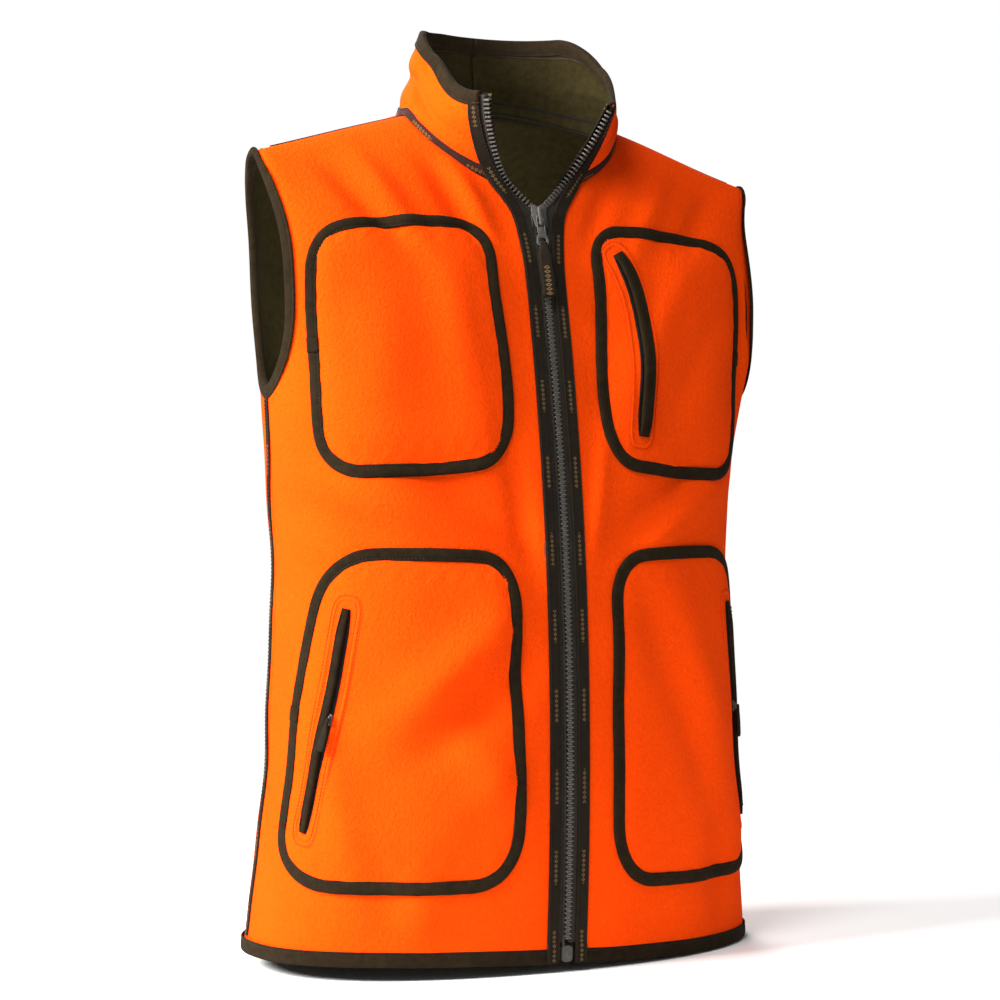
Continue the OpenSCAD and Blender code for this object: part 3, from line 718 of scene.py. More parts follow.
# ---------------------------------------------------------------- bindings of armholes and hem
def armhole_path():
    """Angles and heights round the armhole, from the shoulder tip down the front and up the back."""
    u = np.linspace(0, 1, 260)
    w = lerp(ARMPIT_W - 0.003, 1.0, np.abs(2 * u - 1) ** 1.25)
    return np.where(u < 0.5, t_front(w), t_back(w)), w


def armholes():
    t, w = armhole_path()
    for side, k in SIDES.items():
        p, n = draped(t, w, k)
        p, n = resample(p[:-1], 2.5, True, [n[:-1]])
        p, n = soften(p, 16, True), unit(soften(n, 40, True))
        # the binding is thinner and taller round the shoulder tip, and its stitches leave the tip out
        tip = int(np.argmax(p[:, 2]))
        near = smooth((30 - np.linalg.norm(p - p[tip], axis=1)) / 22)
        taper = np.stack([1 - 0.36 * near, 1 + 0.5 * near], 1)
        o = fixed(sweep("armhole_bind_" + side, p, n, wrap(9.0, 9.5), BIND, True, k, taper))
        claim(o, "binding", "armhole_binding_" + side)
        p, n = np.roll(p, -tip, 0)[12:-12], np.roll(n, -tip, 0)[12:-12]
        fixed(stitches("armhole_thread_" + side, p, n, 6.8, 2.65, THREAD, k))
        fixed(stitches("armhole_thread_in_" + side, p, n, 7.2, -2.9, THREAD, k))


def hem():
    prof = wrap(10.0, 10.0, 2.0) * np.array([-1, 1])
    for side, k in SIDES.items():
        t = np.linspace(t_edge(0.0, 7.6), 96.9, 150)
        p, n = hem_line(t)
        o = bend(sweep("hem_bind_front_" + side, p, n, prof, BIND, sign=k))
        claim(o, "binding", "hem_binding_front_" + side, "hem_binding_fold_" + side)
        bend(stitches("hem_thread_front_" + side, p, n, -7.8, 2.65, THREAD, k))
        bend(stitches("hem_thread_front_in_" + side, p, n, -7.8, -2.85, THREAD, k))
    t = np.linspace(97.1, 262.9, 190)
    p, n = hem_line(t)
    o = fixed(sweep("hem_bind_back", p, n, prof, BIND))
    claim(o, "binding", "hem_binding_back")
    fixed(stitches("hem_thread_back", p, n, -7.8, 2.65, THREAD))
    fixed(stitches("hem_thread_back_in", p, n, -7.8, -2.85, THREAD))


def hem_line(t):
    p, n = S(t, 0 * t + 0.001), N(t, 0 * t + 0.004)
    p[:, 2] = 2.1
    n[:, 2] = 0
    return p, unit(n)


def side_tapes():
    w = np.linspace(0.022, ARMPIT_W - 0.012, 200)
    tape = profile([(-3.6, 1.4), (-3.6, 2.4), (-2.4, 2.8), (2.4, 2.8), (3.6, 2.4), (3.6, 1.4)][::-1], 1)
    for side, k in SIDES.items():
        t = t_back(w) + 3.5 * smooth((w - 0.12) / 0.25) * smooth((ARMPIT_W - w) / 0.2)
        p, n = draped(t, w, k)
        o = fixed(sweep("side_seam_" + side, p, n, tape, TAPE, sign=k))
        claim(o, "binding", "side_tape_" + side)
        for row in edge_rows("side_thread", side, p, n, 2.8, 2.7):
            fixed(row)
        w2 = np.linspace(1.014, TOP_W - 0.004, 60)
        seam = np.full(60, 90.0)
        cord = profile([(-1.2, 0.8), (-1.2, 2.0), (1.2, 2.0), (1.2, 0.8)][::-1], 1)
        o = fixed(sweep("shoulder_seam_" + side, S(seam, w2), N(seam, w2), cord, THREAD, sign=k))
        claim(o, "binding")


# ---------------------------------------------------------------- patch pockets
CHEST_G = np.array([[10, .700], [65.5, .610], [58.5, .945], [12.5, 1.094],
                    [31, .665], [63.5, .790], [37, 1.051], [8.6, .905]])
HAND_G = np.array([[8.9, .100], [81.5, .088], [65, .523], [10.4, .569],
                   [36, .094], [79.5, .300], [30, .566], [10, .345]])
PATCHES = {"chest": (CHEST_G, 0.42, 0.31), "hand": (HAND_G, 0.46, 0.30)}
CHEST_LINE = np.array([[17.5, 1.040], [17.9, 0.745]])
HAND_LINE = np.array([[54.8, 0.455], [66.9, 0.165]])


def patch_q(g, x, y):
    x, y = x[..., None], y[..., None]
    return ((1 - x) * (1 - y) * (-x - y - 1) / 4 * g[0] + (1 + x) * (1 - y) * (x - y - 1) / 4 * g[1]
            + (1 + x) * (1 + y) * (x + y - 1) / 4 * g[2] + (1 - x) * (1 + y) * (-x + y - 1) / 4 * g[3]
            + (1 - x * x) * (1 - y) / 2 * g[4] + (1 + x) * (1 - y * y) / 2 * g[5]
            + (1 - x * x) * (1 + y) / 2 * g[6] + (1 - x) * (1 - y * y) / 2 * g[7])


def patch_xy(g, q):
    """Where points q lie inside the patch, by Newton steps."""
    xy = np.zeros(q.shape)
    for _ in range(14):
        x, y = xy[..., 0], xy[..., 1]
        f = patch_q(g, x, y) - q
        h = 1e-4
        jx = (patch_q(g, x + h, y) - patch_q(g, x - h, y)) / (2 * h)
        jy = (patch_q(g, x, y + h) - patch_q(g, x, y - h)) / (2 * h)
        det = jx[..., 0] * jy[..., 1] - jy[..., 0] * jx[..., 1]
        dx = (f[..., 0] * jy[..., 1] - jy[..., 0] * f[..., 1]) / det
        dy = (jx[..., 0] * f[..., 1] - f[..., 0] * jx[..., 1]) / det
        xy = np.clip(xy - np.stack([dx, dy], -1), -1.2, 1.2)
    return xy


def puff(x, y):
    """How far a filled patch stands off: flat under its binding, soft and uneven in the middle."""
    ex, ey = 1 - np.clip(np.abs(x) / 0.9, 0, 1), 1 - np.clip(np.abs(y) / 0.92, 0, 1)
    rise = np.sqrt(smooth(ex * 3.2) * smooth(ey * 3.6))
    wave = 0.7 * np.sin(2.1 * x + 1.2 * y + 0.6) * np.sin(2.6 * y - 0.8 * x + 1.0)
    edge = np.exp(-((1 - np.maximum(np.abs(x), np.abs(y))) / 0.1 - 1.6) ** 2)
    pucker = 0.28 * np.sin(33 * x + 5 * y) * np.sin(29 * y + 3) * edge
    return rise * (2.9 + wave) + pucker


def corner(y, rx, ry):
    d = np.clip(np.abs(y) - 1 + ry, 0, None) / ry
    return rx * (1 - np.sqrt(np.clip(1 - d * d, 0, 1)))


def outline(g, rx, ry, kx, ky, m=40):
    """Closed outline of a patch, as points to the rounded square scaled by kx and ky."""
    pts = []
    for c in range(4):
        sx, sy, fx = (1 if c in (0, 3) else -1), (1 if c < 2 else -1), c % 2 == 0
        a = np.linspace(0, np.pi / 2, m)
        ca, sa = (np.cos(a), np.sin(a)) if fx else (np.sin(a), np.cos(a))
        pts += list(np.stack([sx * (1 - rx + rx * ca), sy * (1 - ry + ry * sa)], 1))
        for v in np.linspace(1, -1, 30)[1:-1]:
            pts.append(np.array([sx * v * (1 - rx), sy]) if fx else np.array([sx, sy * v * (1 - ry)]))
    p = np.array(pts) * np.array([kx, ky])
    return patch_q(g, p[:, 0], p[:, 1])


def lay(q, o, k, g=None):
    """Points over the draped surface, and over the puffed patch g where one is named."""
    t, w = q[..., 0], q[..., 1]
    p = S(t, w)
    h = o + drape_side(p, k)
    if g is not None:
        xy = patch_xy(g, q)
        h = h + puff(xy[..., 0], xy[..., 1])
    return p + N(t, w) * h[..., None], N(t, w)


def patches():
    band = profile([(-5, 2.4), (-5, 4.0), (-3.9, 4.4), (-3.0, 3.9), (-2.1, 4.5), (1.5, 4.7), (4.4, 4.2),
                    (5.2, 3.0), (5.2, 2.0), (0, 2.2)][::-1], 1)
    for side, k in SIDES.items():
        for kind, (g, rx, ry) in PATCHES.items():
            y = np.sin(np.linspace(-np.pi / 2, np.pi / 2, 64)) * 0.97
            u = np.linspace(-1, 1, 60)
            half = 0.97 - corner(y / 0.97, rx, ry)
            xg, yg = u[None] * half[:, None], np.repeat(y[:, None], 60, 1)
            q = patch_q(g, xg, yg)
            p, n = lay(q, 0 * xg, k, g)
            o = bend(sheet("patch_%s_%s" % (kind, side), p, n, PATCH_SKIN, FLEECE, k))
            claim(o, "fleece", "%s_patch_%s" % (kind, side))
            ring = outline(g, rx, ry, 0.935, 0.95)
            p, n = lay(ring, np.zeros(len(ring)), k)
            p, n = resample(p, 2.2, True, [n])
            p, n = soften(p, 6, True), unit(n)
            rnd = np.random.default_rng(7)
            wob = soften(rnd.normal(0, 1, (len(p), 1)), 3, True)
            sc = np.concatenate([1 + 0.035 * wob, np.ones((len(p), 1))], 1)
            o = bend(sweep("patch_bind_%s_%s" % (kind, side), p, n, band, BIND, True, k, sc))
            claim(o, "binding", "%s_patch_binding_%s" % (kind, side))
            bend(stitches("patch_thread_%s_%s" % (kind, side), p, n, -3.0, 4.1, THREAD, k, True))
            # the lap where the two ends of the binding meet
            i = int(len(p) * (0.90 if kind == "chest" else 0.885))
            lap = profile([(-5.1, 2.5), (-5.1, 4.8), (-2, 5.2), (2, 5.3), (5.3, 4.7), (5.4, 2.2)][::-1], 1)
            bend(sweep("patch_lap_%s_%s" % (kind, side), p[i:i + 6], n[i:i + 6], lap, BIND, sign=k))


# ---------------------------------------------------------------- pocket openings
def opening_path(line, g, k, a0, a1, bow, n=60):
    u = np.linspace(a0, a1, n)
    q = line[0] + (line[1] - line[0]) * u[:, None]
    q[:, 0] += bow * np.sin(np.pi * np.clip(u, 0, 1))
    p, nr = lay(q, np.full(n, PATCH_SKIN[1]), k, g)
    return resample(p, 1.5, extra=[nr])


def welt(kind, side, line, g, bow):
    """Opening with a slit in near-black painted shade, a flap of binding on its outer side and tone-on-tone
    stitching.
    """
    k = SIDES[side]
    p, n = opening_path(line, g, k, -0.005, 1.005, bow)
    n = unit(n)
    t, b, _ = frames(p, n)
    end = np.sin(np.clip(np.linspace(0, 1, len(p)) * 12, 0, np.pi / 2)) * \
        np.sin(np.clip(np.linspace(1, 0, len(p)) * 12, 0, np.pi / 2))
    sc = np.stack([0.35 + 0.65 * end, np.ones(len(p))], 1)
    # the slit is a near-black strip: painted shade of the pocket opening
    slit = profile([(-1.6, -0.4), (-1.6, 0.35), (3.4, 0.35), (3.4, -0.4)][::-1], 1)
    out = [sweep("%s_slit_%s" % (kind, side), p, n, slit, COIL_AND_SHADE_BLACK, sign=k, scale=sc)]
    flap = profile([(-10.2, -1.5), (-10.4, 2.3), (-8.9, 3.2), (-7.8, 2.4), (-6.7, 3.3), (-2.0, 3.9),
                    (0.4, 3.2), (0.8, 1.0), (-0.6, -0.6)][::-1], 1)
    sc = np.stack([(0.8 + 0.2 * end) * (0.7 if kind == "hand" else 1), 0.5 + 0.5 * end], 1)
    out.append(sweep("%s_flap_%s" % (kind, side), p, n, flap, BIND, sign=k, scale=sc))
    out.append(stitches("%s_flap_thread_%s" % (kind, side), p[4:-4], n[4:-4],
                        -5.5 if kind == "hand" else -7.8, 2.65, THREAD, k))
    # coil inside the slit, in the same near-black as the painted shade
    coilp = p[3:-3] + b[3:-3] * 1.4
    cp, cn = resample(coilp, 1.15, extra=[n[3:-3]])
    tt, bb, oo = frames(cp, unit(cn))
    out.append(stamp("%s_coil_%s" % (kind, side), blob(1.25, 0.4, 0.42, 8, 4), COIL_AND_SHADE_BLACK,
                     cp + oo * 0.3, np.stack([bb, oo, tt], -1), k))
    # stitched frame: a rounded loop round the opening
    half, over = 12.5, 8.0
    first, last = p[0] - t[0] * over, p[-1] + t[-1] * over
    left = [p[i] + b[i] * (half - 3.5) for i in range(0, len(p), 2)]
    right = [p[i] - b[i] * half for i in range(len(p) - 1, -1, -2)]
    loop = [first + b[0] * (half - 6)] + left + [last + b[-1] * (half - 6), last - b[-1] * (half - 4)] \
        + right + [first - b[0] * (half - 4)]
    return out, (p, t, b), soften(resample(np.array(loop), 2.0, True), 5, True)


def settle(loop, g, line, k):
    """Heights of loop points above the puffed patch, found from the nearest surface point."""
    u = np.linspace(-0.06, 1.06, 70)
    v = np.linspace(-6.5, 6.5, 40)
    q = line[0] + (line[1] - line[0]) * u[:, None, None] + np.array([1.0, 0])[None, None] * v[None, :, None]
    p, n = lay(q, np.full(q.shape[:2], 3.1), k, g)
    p, n = p.reshape(-1, 3), n.reshape(-1, 3)
    out, nn = [], []
    for x in loop:
        d = np.sum((p - x) ** 2, 1)
        i = np.argsort(d)[:4]
        wt = 1 / (d[i] + 0.2)
        near, nr = (p[i] * wt[:, None]).sum(0) / wt.sum(), unit(n[i].mean(0))
        out.append(x + nr * ((near - x) @ nr))
        nn.append(nr)
    return np.array(out), np.array(nn)


def stitched_frame(name, loop, g, line, k):
    p, n = settle(loop, g, line, k)
    p, n = soften(p, 2, True), unit(soften(n, 2, True))
    seam = profile([(-1.9, -0.7), (-1.3, 0.35), (0, 0.6), (1.3, 0.35), (1.9, -0.7)][::-1], 1)
    bend(sweep(name + "_seam", p, n, seam, FLEECE, True, k))
    for m, v in (("a", -2.3), ("b", 2.3)):
        bend(stitches("%s_thread_%s" % (name, m), p, n, v, 0.05, THREAD_ORANGE, k, True, 2.8))


def place(parts, name, mat, origin, axes, sign=1.0):
    """Mesh parts in a local frame (columns of axes) set at origin."""
    v, f = parts
    v = origin + np.asarray(v, float) @ np.asarray(axes, float).T
    if np.linalg.det(axes) < 0:
        f = [list(q)[::-1] for q in f]
    v, f = flip(v, f, sign)
    return make(name, v, f, mat)


# ---------------------------------------------------------------- hard parts
def inset(outline_, d):
    p = np.asarray(outline_, float)
    e0, e1 = unit(p - np.roll(p, 1, 0)), unit(np.roll(p, -1, 0) - p)
    n = unit(np.stack([-(e0 + e1)[:, 1], (e0 + e1)[:, 0]], 1))
    return p + n * d


def slab(outline_, y0, y1, bevel=0.35, hole=None):
    """Plate with eased edges; outlines are counter-clockwise (x, z), a hole has as many points."""
    levels = [(y0, bevel), (y0 + bevel * 0.3, bevel * 0.3), (y0 + bevel, 0), (y1 - bevel, 0),
              (y1 - bevel * 0.3, bevel * 0.3), (y1, bevel)]
    k = len(outline_)
    v, f = [], []
    loops = [np.asarray(outline_, float)] + ([] if hole is None else [np.asarray(hole, float)])
    for li, loop in enumerate(loops):
        base = len(v)
        for y, d in levels:
            r = inset(loop, d if li == 0 else -d)
            v += [[x, y, z] for x, z in r]
        for i in range(len(levels) - 1):
            for j in range(k):
                a, b = base + i * k + j, base + (i + 1) * k + j
                c, e = base + (i + 1) * k + (j + 1) % k, base + i * k + (j + 1) % k
                f.append([a, b, c, e] if li == 0 else [a, e, c, b])
    top = (len(levels) - 1) * k
    if hole is None:
        f += [list(range(k)), [top + j for j in range(k)][::-1]]
    else:
        h = len(levels) * k
        for j in range(k):
            n = (j + 1) % k
            f.append([j, n, h + n, h + j])
            f.append([top + n, top + j, h + top + j, h + top + n])
    return np.array(v), f


def arc_frame(z):
    f = math.asin((z - ARC_Z) / ARC_R)
    axes = np.array([[1, 0, 0], [0, -math.cos(f), math.sin(f)], [0, math.sin(f), math.cos(f)]]).T
    return np.array([0, float(arc_y(z)), z]), axes


def tube(points, r, n=10):
    """Round wire through points in the local frame, as vertices and faces."""
    p = np.array(points, float)
    ref = np.tile(np.array([0.31, 0.72, 0.62]), (len(p), 1))
    prof = [(r * math.cos(a), r * math.sin(a)) for a in np.linspace(0, 2 * np.pi, n, endpoint=False)]
    v, f, _ = sweep_data(p, ref, prof)
    return v, f


def zip_line(half_gap, aside, start=17):
    """Path up the front and the collar: the tooth line, or a line set aside from the cloth's edge."""
    z = np.arange(start, 600, 3.0)
    lo = np.stack([half_gap(z) + 8 + aside, arc_y(z), z], 1)
    f = np.arcsin((z - ARC_Z) / ARC_R)
    n_lo = np.stack([0 * f, -np.cos(f), np.sin(f)], 1)
    q = np.linspace(0.05, 0.955, 30)
    s0 = 0 * q
    e = unit(C(s0 + 0.02, q) - C(s0, q))
    hi = on_collar(s0, q) + e * aside
    p, n = resample(np.concatenate([lo, hi]), PITCH / 2, extra=[np.concatenate([n_lo, CN(s0, q)])])
    return soften(p, 16 if aside < 0 else 90), unit(soften(n, 60))


def main_zip():
    p, n = zip_line(gap, -8.0)
    t, b, o = frames(p, n)
    collar_from = int(np.argmax(p[:, 2] > 601))
    tooth_out = [(-1.75, -0.45), (-1.3, -0.78), (0.3, -0.78), (0.9, -0.5), (1.4, -0.8), (2.5, -0.85), (3.0, -0.5),
                 (3.0, 0.5), (2.5, 0.85), (1.4, 0.8), (0.9, 0.5), (0.3, 0.78), (-1.3, 0.78), (-1.75, 0.45)]
    tooth_v, tooth_f = slab(tooth_out, -1.3, 2.75, 0.32)
    tooth_f = turned(tooth_f)
    for side, k in SIDES.items():
        off = 0 if side == "left" else 1
        i = np.arange(2 + off, len(p) - 2, 2)
        ax = np.stack([b, o, t], -1)
        for name, sel in (("zip_row_", i[i < collar_from]), ("zip_row_top_", i[i >= collar_from])):
            w = stamp(name + side, (tooth_v, tooth_f), PLASTIC, p[sel], ax[sel], k)
            bend(w)
            claim(w, "zip_teeth", "zip_teeth_" + side if name == "zip_row_" else "zip_collar_" + side)
        tape = profile([(1.7, -0.5), (1.7, 0.5), (2.4, 0.75), (18, 0.75), (18, -0.5)][::-1], 1)
        w = bend(sweep("zip_band_" + side, p, n, tape, ZIPTAPE, sign=k))
        claim(w, "zip_tape", "zip_tape_" + side)
        cord = profile([(2.8, 0.6), (2.9, 1.5), (3.6, 1.9), (4.6, 1.5), (5.0, 0.6)][::-1], 1)
        bend(sweep("zip_cord_" + side, p, n, cord, ZIPTAPE, sign=k))
        mid, mid_n = zip_line(gap_edge, 4.3, 2)
        mid[:, 1] -= 1.1 * smooth((20 - mid[:, 2]) / 8)
        face = profile([(-5.3, 0.9), (-5.3, 2.4), (-4.5, 2.9), (4.4, 3.0), (5.3, 2.6), (5.4, 1.2)][::-1], 1)
        w = bend(sweep("zip_facing_tape_" + side, mid, mid_n, face, TAPE, sign=k))
        claim(w, "binding", "zip_facing_" + side)
        for row in edge_rows("zip_facing_thread", side, mid, mid_n, 4.3, 2.95):
            bend(row)
        back = profile([(-5.6, -1.2), (-5.6, -2.9), (-4.6, -3.4), (4.4, -3.4), (5.4, -2.8), (5.4, -1.6)], 1)
        bend(sweep("zip_facing_back_" + side, mid, mid_n, back, TAPE, sign=k))
        i = collar_from - 26
        guard = profile([(-1.5, -2.1), (-1.5, -3.6), (0, -4.1), (9.5, -4.1), (9.5, -3.2), (2, -2.4)], 1)
        bend(sweep("zip_guard_" + side, p[i:], n[i:], guard, TAPE, sign=k))


def slider():
    o, ax = arc_frame(SLIDER_Z)
    turn = math.radians(12)
    ax = np.stack([ax[:, 0] * math.cos(turn) + ax[:, 1] * math.sin(turn),
                   ax[:, 1] * math.cos(turn) - ax[:, 0] * math.sin(turn), ax[:, 2]], 1)
    shape = profile([(-4.1, -8), (4.1, -8), (4.9, -2), (6.3, 4), (6.3, 9.5), (4.6, 12), (1.6, 11.2), (0, 9.2),
                     (-1.6, 11.2), (-4.6, 12), (-6.3, 9.5), (-6.3, 4), (-4.9, -2)], 2)
    w = place(slab(shape, 3.5, 4.7, 0.5), "slider_front_plate", ZINC, o, ax)
    fixed(w, "zip_slider")
    claim(w, "zip_metal", "zip_slider")
    fixed(place(slab(shape, -2.6, -1.5, 0.4), "slider_back_plate", ZINC, o, ax), "zip_slider")
    wedge = profile([(-1.4, 10.6), (0, 5.5), (1.4, 10.6)], 2)
    fixed(place(slab(wedge, -1.7, 3.5, 0.2), "slider_wedge", ZINC, o, ax), "zip_slider")
    for s in (-1, 1):
        rail = profile([(s * 5.9 - 0.5, -7.5), (s * 5.9 + 0.5, -7.5), (s * 5.9 + 0.5, 5), (s * 5.9 - 0.5, 5)], 1)
        fixed(place(slab(rail, 1.7, 3.5, 0.3), "slider_rail_%s" % ("left" if s > 0 else "right"), ZINC, o, ax),
              "zip_slider")
    # bridge that holds the puller: a bar standing on two feet
    foot = profile([(-1.6, -6.5), (1.6, -6.5), (1.6, -2.6), (-1.6, -2.6)], 1)
    fixed(place(slab(foot, 4.3, 7.8, 0.4), "slider_foot_low", ZINC, o, ax), "zip_slider")
    foot = profile([(-1.6, 4.0), (1.6, 4.0), (1.6, 9.0), (-1.6, 9.0)], 1)
    fixed(place(slab(foot, 4.3, 7.8, 0.4), "slider_foot_high", ZINC, o, ax), "zip_slider")
    bar = profile([(-1.7, -6.5), (1.7, -6.5), (1.7, 9), (-1.7, 9)], 2)
    fixed(place(slab(bar, 7.1, 8.2, 0.45), "slider_bridge", ZINC, o, ax), "zip_slider")
    # puller: two arms at the pin, a waist, and a flared end round an oblong hole
    end_out = resample(profile([(-3.3, -24), (3.3, -24), (5.3, -21.5), (4.9, -17.2), (3.4, -13.0), (-3.4, -13.0),
                                (-4.9, -17.2), (-5.3, -21.5)], 2), 1.0, True)
    c = end_out.mean(0)
    d = end_out - c
    hole = np.array([0, -19.4]) + np.stack([3.0 * d[:, 0] / np.abs(d[:, 0]).max(),
                                            2.4 * d[:, 1] / np.abs(d[:, 1]).max()], 1)
    w = place(slab(end_out, 5.2, 6.6, 0.4, hole), "puller_ring", ZINC, o, ax)
    fixed(w, "zip_puller")
    claim(w, "zip_metal", "zip_puller")
    web = profile([(-3.0, -14.2), (3.0, -14.2), (2.9, -8.4), (1.4, -7.6), (-1.4, -7.6), (-2.9, -8.4)], 2)
    fixed(place(slab(web, 5.2, 6.5, 0.35), "puller_web", ZINC, o, ax), "zip_puller")
    for s in (-1, 1):
        arm = profile([(s * 2.85 - 0.75, -13.8), (s * 2.85 + 0.75, -13.8), (s * 2.85 + 0.6, 1.6),
                       (s * 2.85 - 0.6, 1.6)], 2)
        fixed(place(slab(arm, 5.1, 6.6, 0.35), "puller_arm_%s" % ("left" if s > 0 else "right"), ZINC, o, ax),
              "zip_puller")
    pin = tube([(-3.2, 6.3, 0.9), (-1, 6.3, 0.9), (1, 6.3, 0.9), (3.2, 6.3, 0.9)], 0.6, 14)
    fixed(place(pin, "puller_pin", ZINC, o, ax), "zip_puller")
    # woven tab folded through the hole
    z = np.linspace(0, 1, 44)
    leg = lambda y0, y1: np.stack([0 * z, lerp(y0, y1, smooth(z * 5)), lerp(-21.4, -65.4, z)], 1)
    front, rear = leg(7.6, 8.3), leg(5.5, 5.0)
    path = np.concatenate([front[::-1], [[0, 7.2, -20.8], [0, 6.55, -20.6], [0, 5.9, -20.8]], rear])
    nrm = np.concatenate([np.tile([0, 1.0, 0.05], (44, 1)), [[0, 0.7, 0.7], [0, 0, 1.0], [0, -0.7, 0.7]],
                          np.tile([0, -1.0, 0.05], (44, 1))])
    path, nrm = resample(path, 1.0, extra=[nrm])
    wide = 1 + 0.78 * smooth((-path[:, 2] - 24) / 6)
    sc = np.stack([wide, np.ones(len(path))], 1)
    tape = profile([(-2.75, -0.32), (-2.75, 0.32), (2.75, 0.32), (2.75, -0.32)], 1)
    v, f, uv = sweep_data(path, unit(nrm), tape, False, sc)
    v = o + v @ ax.T
    w = make("tab_loop", v, [list(q)[::-1] for q in f], TAPE, uv)
    fixed(w, "pull_tab")
    claim(w, "zip_tape", "pull_tab")
    stub = profile([(-4.9, -66), (4.9, -66), (4.9, -58), (-4.9, -58)], 1)
    fixed(place(slab(stub, 4.9, 8.5, 0.5), "tab_end", BIND, o, ax), "pull_tab")
    for x in (-4.0, 4.0):
        rows = np.array([[x, 8.72, zz] for zz in np.arange(-63, -31, 2.4)])
        pos = o + rows @ ax.T
        fr = np.tile(ax, (len(rows), 1, 1))
        v0, f0 = blob(0.32, 0.26, 0.95, 6, 4, 0.8)
        fixed(stamp("tab_thread_%s" % ("left" if x > 0 else "right"), (v0, [list(q)[::-1] for q in f0]),
                    THREAD, pos, fr), "pull_tab")


def zip_foot():
    o, ax = arc_frame(8.0)
    box = profile([(-4.6, -6), (4.6, -6), (5.0, 1), (4.6, 6), (2, 7), (-2, 7), (-4.6, 6), (-5.0, 1)], 2)
    w = place(slab(box, -1.6, 3.4, 0.8), "retainer_box", ZINC, o, ax)
    bend(w)
    claim(w, "zip_metal", "zip_retainer")
    rib = profile([(-2.8, -4), (2.8, -4), (2.6, 4.5), (-2.6, 4.5)], 2)
    bend(place(slab(rib, 3.2, 3.8, 0.25), "retainer_face", ZINC, o, ax))
    pin = tube([(-3, 1.2, -1.5), (-3, 1.2, 3), (-3, 1.2, 8), (-3, 1.2, 14)], 0.8, 12)
    w = place(pin, "insertion_pin", ZINC, o, ax)
    fixed(w, "front_right")
    claim(w, "zip_metal", "zip_pin")


def line_frame(line, u, k, g):
    """Local frame on a pocket line: x across away from the zip, y outward, z down the line."""
    q = line[0] + (line[1] - line[0]) * np.array([[u], [u + 0.01]])
    p, n = lay(q, np.full(2, PATCH_SKIN[1]), k, g)
    d = unit(p[1] - p[0])
    b = unit(np.cross(n[0], d))
    return p[0], np.stack([b, np.cross(d, b), d], -1)


def pocket_bits():
    for side in ("right", "left"):
        k = SIDES[side]
        out, _, loop = welt("hand", side, HAND_LINE, HAND_G, 0.2)
        for obj in out:
            bend(obj)
        claim(out[0], "zip_tape", "hand_pocket_coil_" + side)
        claim(out[1], "binding", "hand_pocket_piping_" + side)
        stitched_frame("hand_frame_" + side, loop, HAND_G, HAND_LINE, k)
        o, ax = line_frame(HAND_LINE, 0.5, k, HAND_G)
        body = profile([(-3.0, -4.6), (1.6, -4.6), (2.2, 0), (1.6, 4.6), (-3.0, 4.6), (-3.4, 0)], 2)
        w = place(slab(body, 0.4, 1.8, 0.4), "hand_slider_body_" + side, ZINC, o, ax, k)
        fixed(w, "hand_slider_" + side)
        claim(w, "zip_metal", "hand_pocket_slider_" + side)
        lug = profile([(-2.2, -3), (-0.6, -3), (-0.6, 2.6), (-2.2, 2.6)], 1)
        fixed(place(slab(lug, 1.6, 4.2, 0.35), "hand_slider_lug_" + side, ZINC, o, ax, k), "hand_slider_" + side)
        pull = profile([(-2.8, -1.4), (0.2, -1.4), (0.2, 6), (1.7, 9), (1.9, 22), (0.6, 24.6), (-3.2, 24.6),
                        (-4.5, 22), (-4.3, 9), (-2.8, 6)], 2)
        w = place(slab(pull, 4.0, 6.2, 0.7), "hand_puller_cord_" + side, TAPE, o, ax, k)
        fixed(w, "hand_puller_" + side)
        claim(w, "zip_tape", "hand_pocket_puller_" + side)
    out, (p, t, b), loop = welt("chest", "left", CHEST_LINE, CHEST_G, 1.4)
    for obj in out:
        bend(obj)
    claim(out[0], "zip_tape", "chest_pocket_coil")
    claim(out[1], "binding", "chest_pocket_piping")
    stitched_frame("chest_frame", loop, CHEST_G, CHEST_LINE, 1.0)
    i = 8
    ax = np.stack([-b[i], np.cross(t[i], -b[i]), t[i]], -1)
    body = profile([(1.0, -4), (4.4, -4), (4.8, 0), (4.4, 4), (1.0, 4)], 2)
    w = place(slab(body, 0.3, 1.7, 0.4), "chest_slider_body", ZINC, p[i], ax)
    bend(w)
    claim(w, "zip_metal", "chest_pocket_slider")
    y = np.sin(np.linspace(-np.pi / 2, np.pi / 2, 30)) * 0.8
    u = np.linspace(-1, 1, 30)
    half = 0.8 - corner(y / 0.8, 0.36, 0.28) * 0.8
    q = patch_q(CHEST_G, u[None] * half[:, None], np.repeat(y[:, None], 30, 1))
    pp, nn = lay(q, 0 * q[..., 0], 1.0)
    w = bend(sheet("chest_bag", pp, nn, BAG_SKIN, LINING))
    claim(w, "lining", "chest_pocket_bag")


# ---------------------------------------------------------------- build
body_panels()
collar()
armholes()
hem()
side_tapes()
patches()
pocket_bits()
main_zip()
slider()
zip_foot()

# ---------------------------------------------------------------- stage, light and camera
CAM_AZ, CAM_EL, CAM_DIST, CAM_AIM_Z = math.radians(-28), math.radians(-0.3), 2.06, 0.353
LENS, SENSOR, SHIFT_X = 90.4, 36.0, 0.006
FLOOR_DROP, FLOOR_R, AMBIENT = 14.5, 2600, 0.26


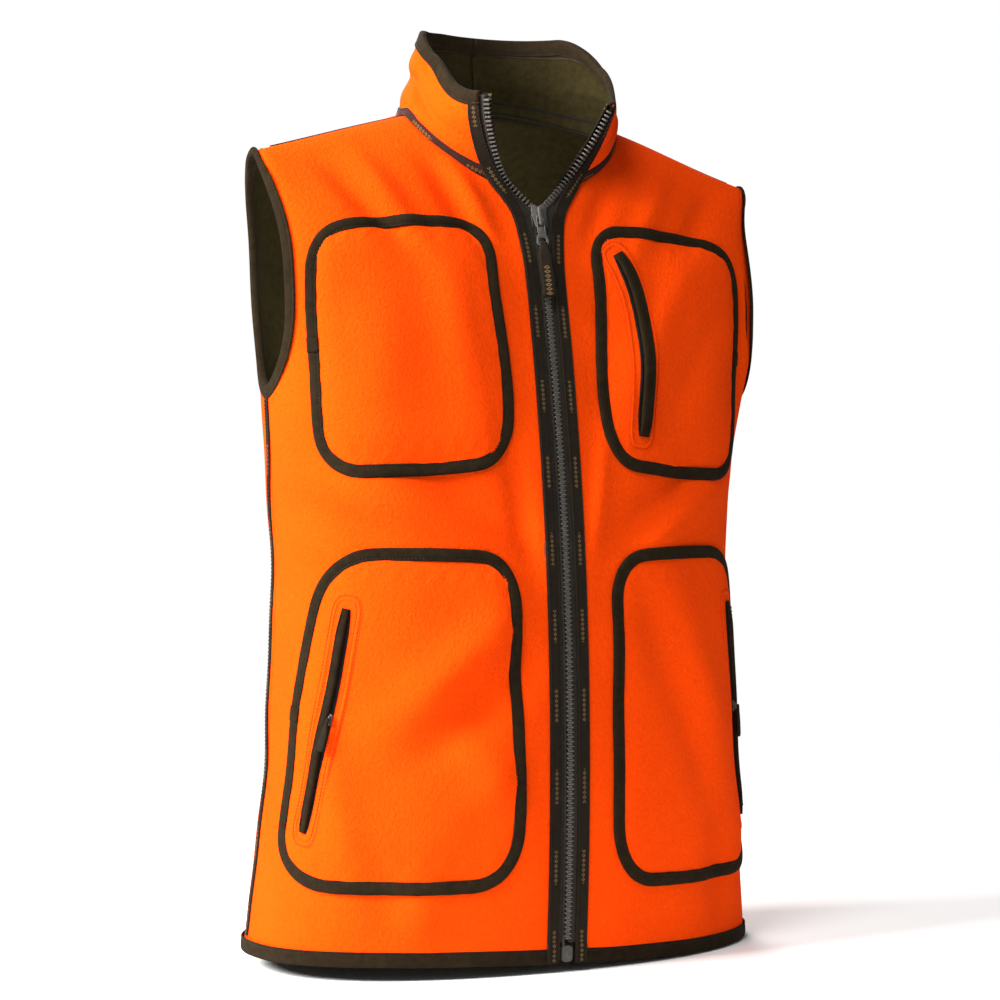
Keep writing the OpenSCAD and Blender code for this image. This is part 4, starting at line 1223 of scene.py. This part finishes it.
def floor():
    n = 64
    v = [(0, 0, -FLOOR_DROP)]
    for i in range(n):
        a = 2 * math.pi * i / n
        v.append((FLOOR_R * math.cos(a), FLOOR_R * math.sin(a), -FLOOR_DROP))
    f = [[0, 1 + i, 1 + (i + 1) % n] for i in range(n)]
    m = Nodes("floor")
    tc = m.add("ShaderNodeTexCoord")
    ln = m.add("ShaderNodeVectorMath", operation="LENGTH")
    m.link(tc.outputs["Object"], ln.inputs[0])
    fade = m.ramp(ln.outputs["Value"], 0.45, 1.5)
    m.link(m.mix(m.noise(3, 3), (0.86, 0.86, 0.85), (0.90, 0.90, 0.89)), m.bsdf.inputs["Base Color"])
    m.bsdf.inputs["Roughness"].default_value = 0.8
    m.link(m.math("SUBTRACT", 1.0, fade), m.bsdf.inputs["Alpha"])
    obj = make("studio_floor", v, f, m.mat, worn=False)


def world():
    w = bpy.data.worlds.new("studio")
    bpy.context.scene.world = w
    w.use_nodes = True
    t = w.node_tree
    t.nodes.clear()
    out = t.nodes.new("ShaderNodeOutputWorld")
    mix = t.nodes.new("ShaderNodeMixShader")
    seen, amb = t.nodes.new("ShaderNodeBackground"), t.nodes.new("ShaderNodeBackground")
    seen.inputs["Color"].default_value = (1, 1, 1, 1)
    seen.inputs["Strength"].default_value = 1.0
    amb.inputs["Color"].default_value = (1, 1, 1, 1)
    amb.inputs["Strength"].default_value = AMBIENT
    path = t.nodes.new("ShaderNodeLightPath")
    t.links.new(path.outputs["Is Camera Ray"], mix.inputs[0])
    t.links.new(amb.outputs[0], mix.inputs[1])
    t.links.new(seen.outputs[0], mix.inputs[2])
    t.links.new(mix.outputs[0], out.inputs[0])


def area(name, az, el, dist, size, power, aim=(0, 0, 0.38)):
    """Soft light, az measured like the camera's."""
    a, e = math.radians(az), math.radians(el)
    aim = Vector(aim)
    pos = aim + dist * Vector((math.sin(a) * math.cos(e), -math.cos(a) * math.cos(e), math.sin(e)))
    d = bpy.data.lights.new(name, "AREA")
    d.shape, d.size, d.energy = "DISK", size, power
    o = bpy.data.objects.new(name, d)
    bpy.context.scene.collection.objects.link(o)
    o.matrix_world = Matrix.Translation(pos) @ (aim - pos).to_track_quat("-Z", "Y").to_matrix().to_4x4()


def camera():
    d = bpy.data.cameras.new("camera")
    d.lens, d.sensor_width, d.shift_x = LENS, SENSOR, SHIFT_X
    o = bpy.data.objects.new("camera", d)
    bpy.context.scene.collection.objects.link(o)
    aim = Vector((0, 0, CAM_AIM_Z))
    out = Vector((math.sin(CAM_AZ) * math.cos(CAM_EL), -math.cos(CAM_AZ) * math.cos(CAM_EL), math.sin(CAM_EL)))
    pos = aim + out * CAM_DIST
    o.matrix_world = Matrix.Translation(pos) @ (aim - pos).to_track_quat("-Z", "Y").to_matrix().to_4x4()
    bpy.context.scene.camera = o


floor()
world()
area("key", -91, 26, 2.6, 1.2, 232)
area("front", -50, 42, 1.8, 0.8, 28, (0, 0, 0.54))
area("fill", 60, 14, 3.0, 1.6, 4)
area("back", 165, 35, 2.8, 1.5, 60)
area("inner", 0, -66, 0.24, 0.06, 0.75, (-0.03, 0.085, 0.66))
camera()
bpy.context.scene.view_settings.view_transform = "Standard"
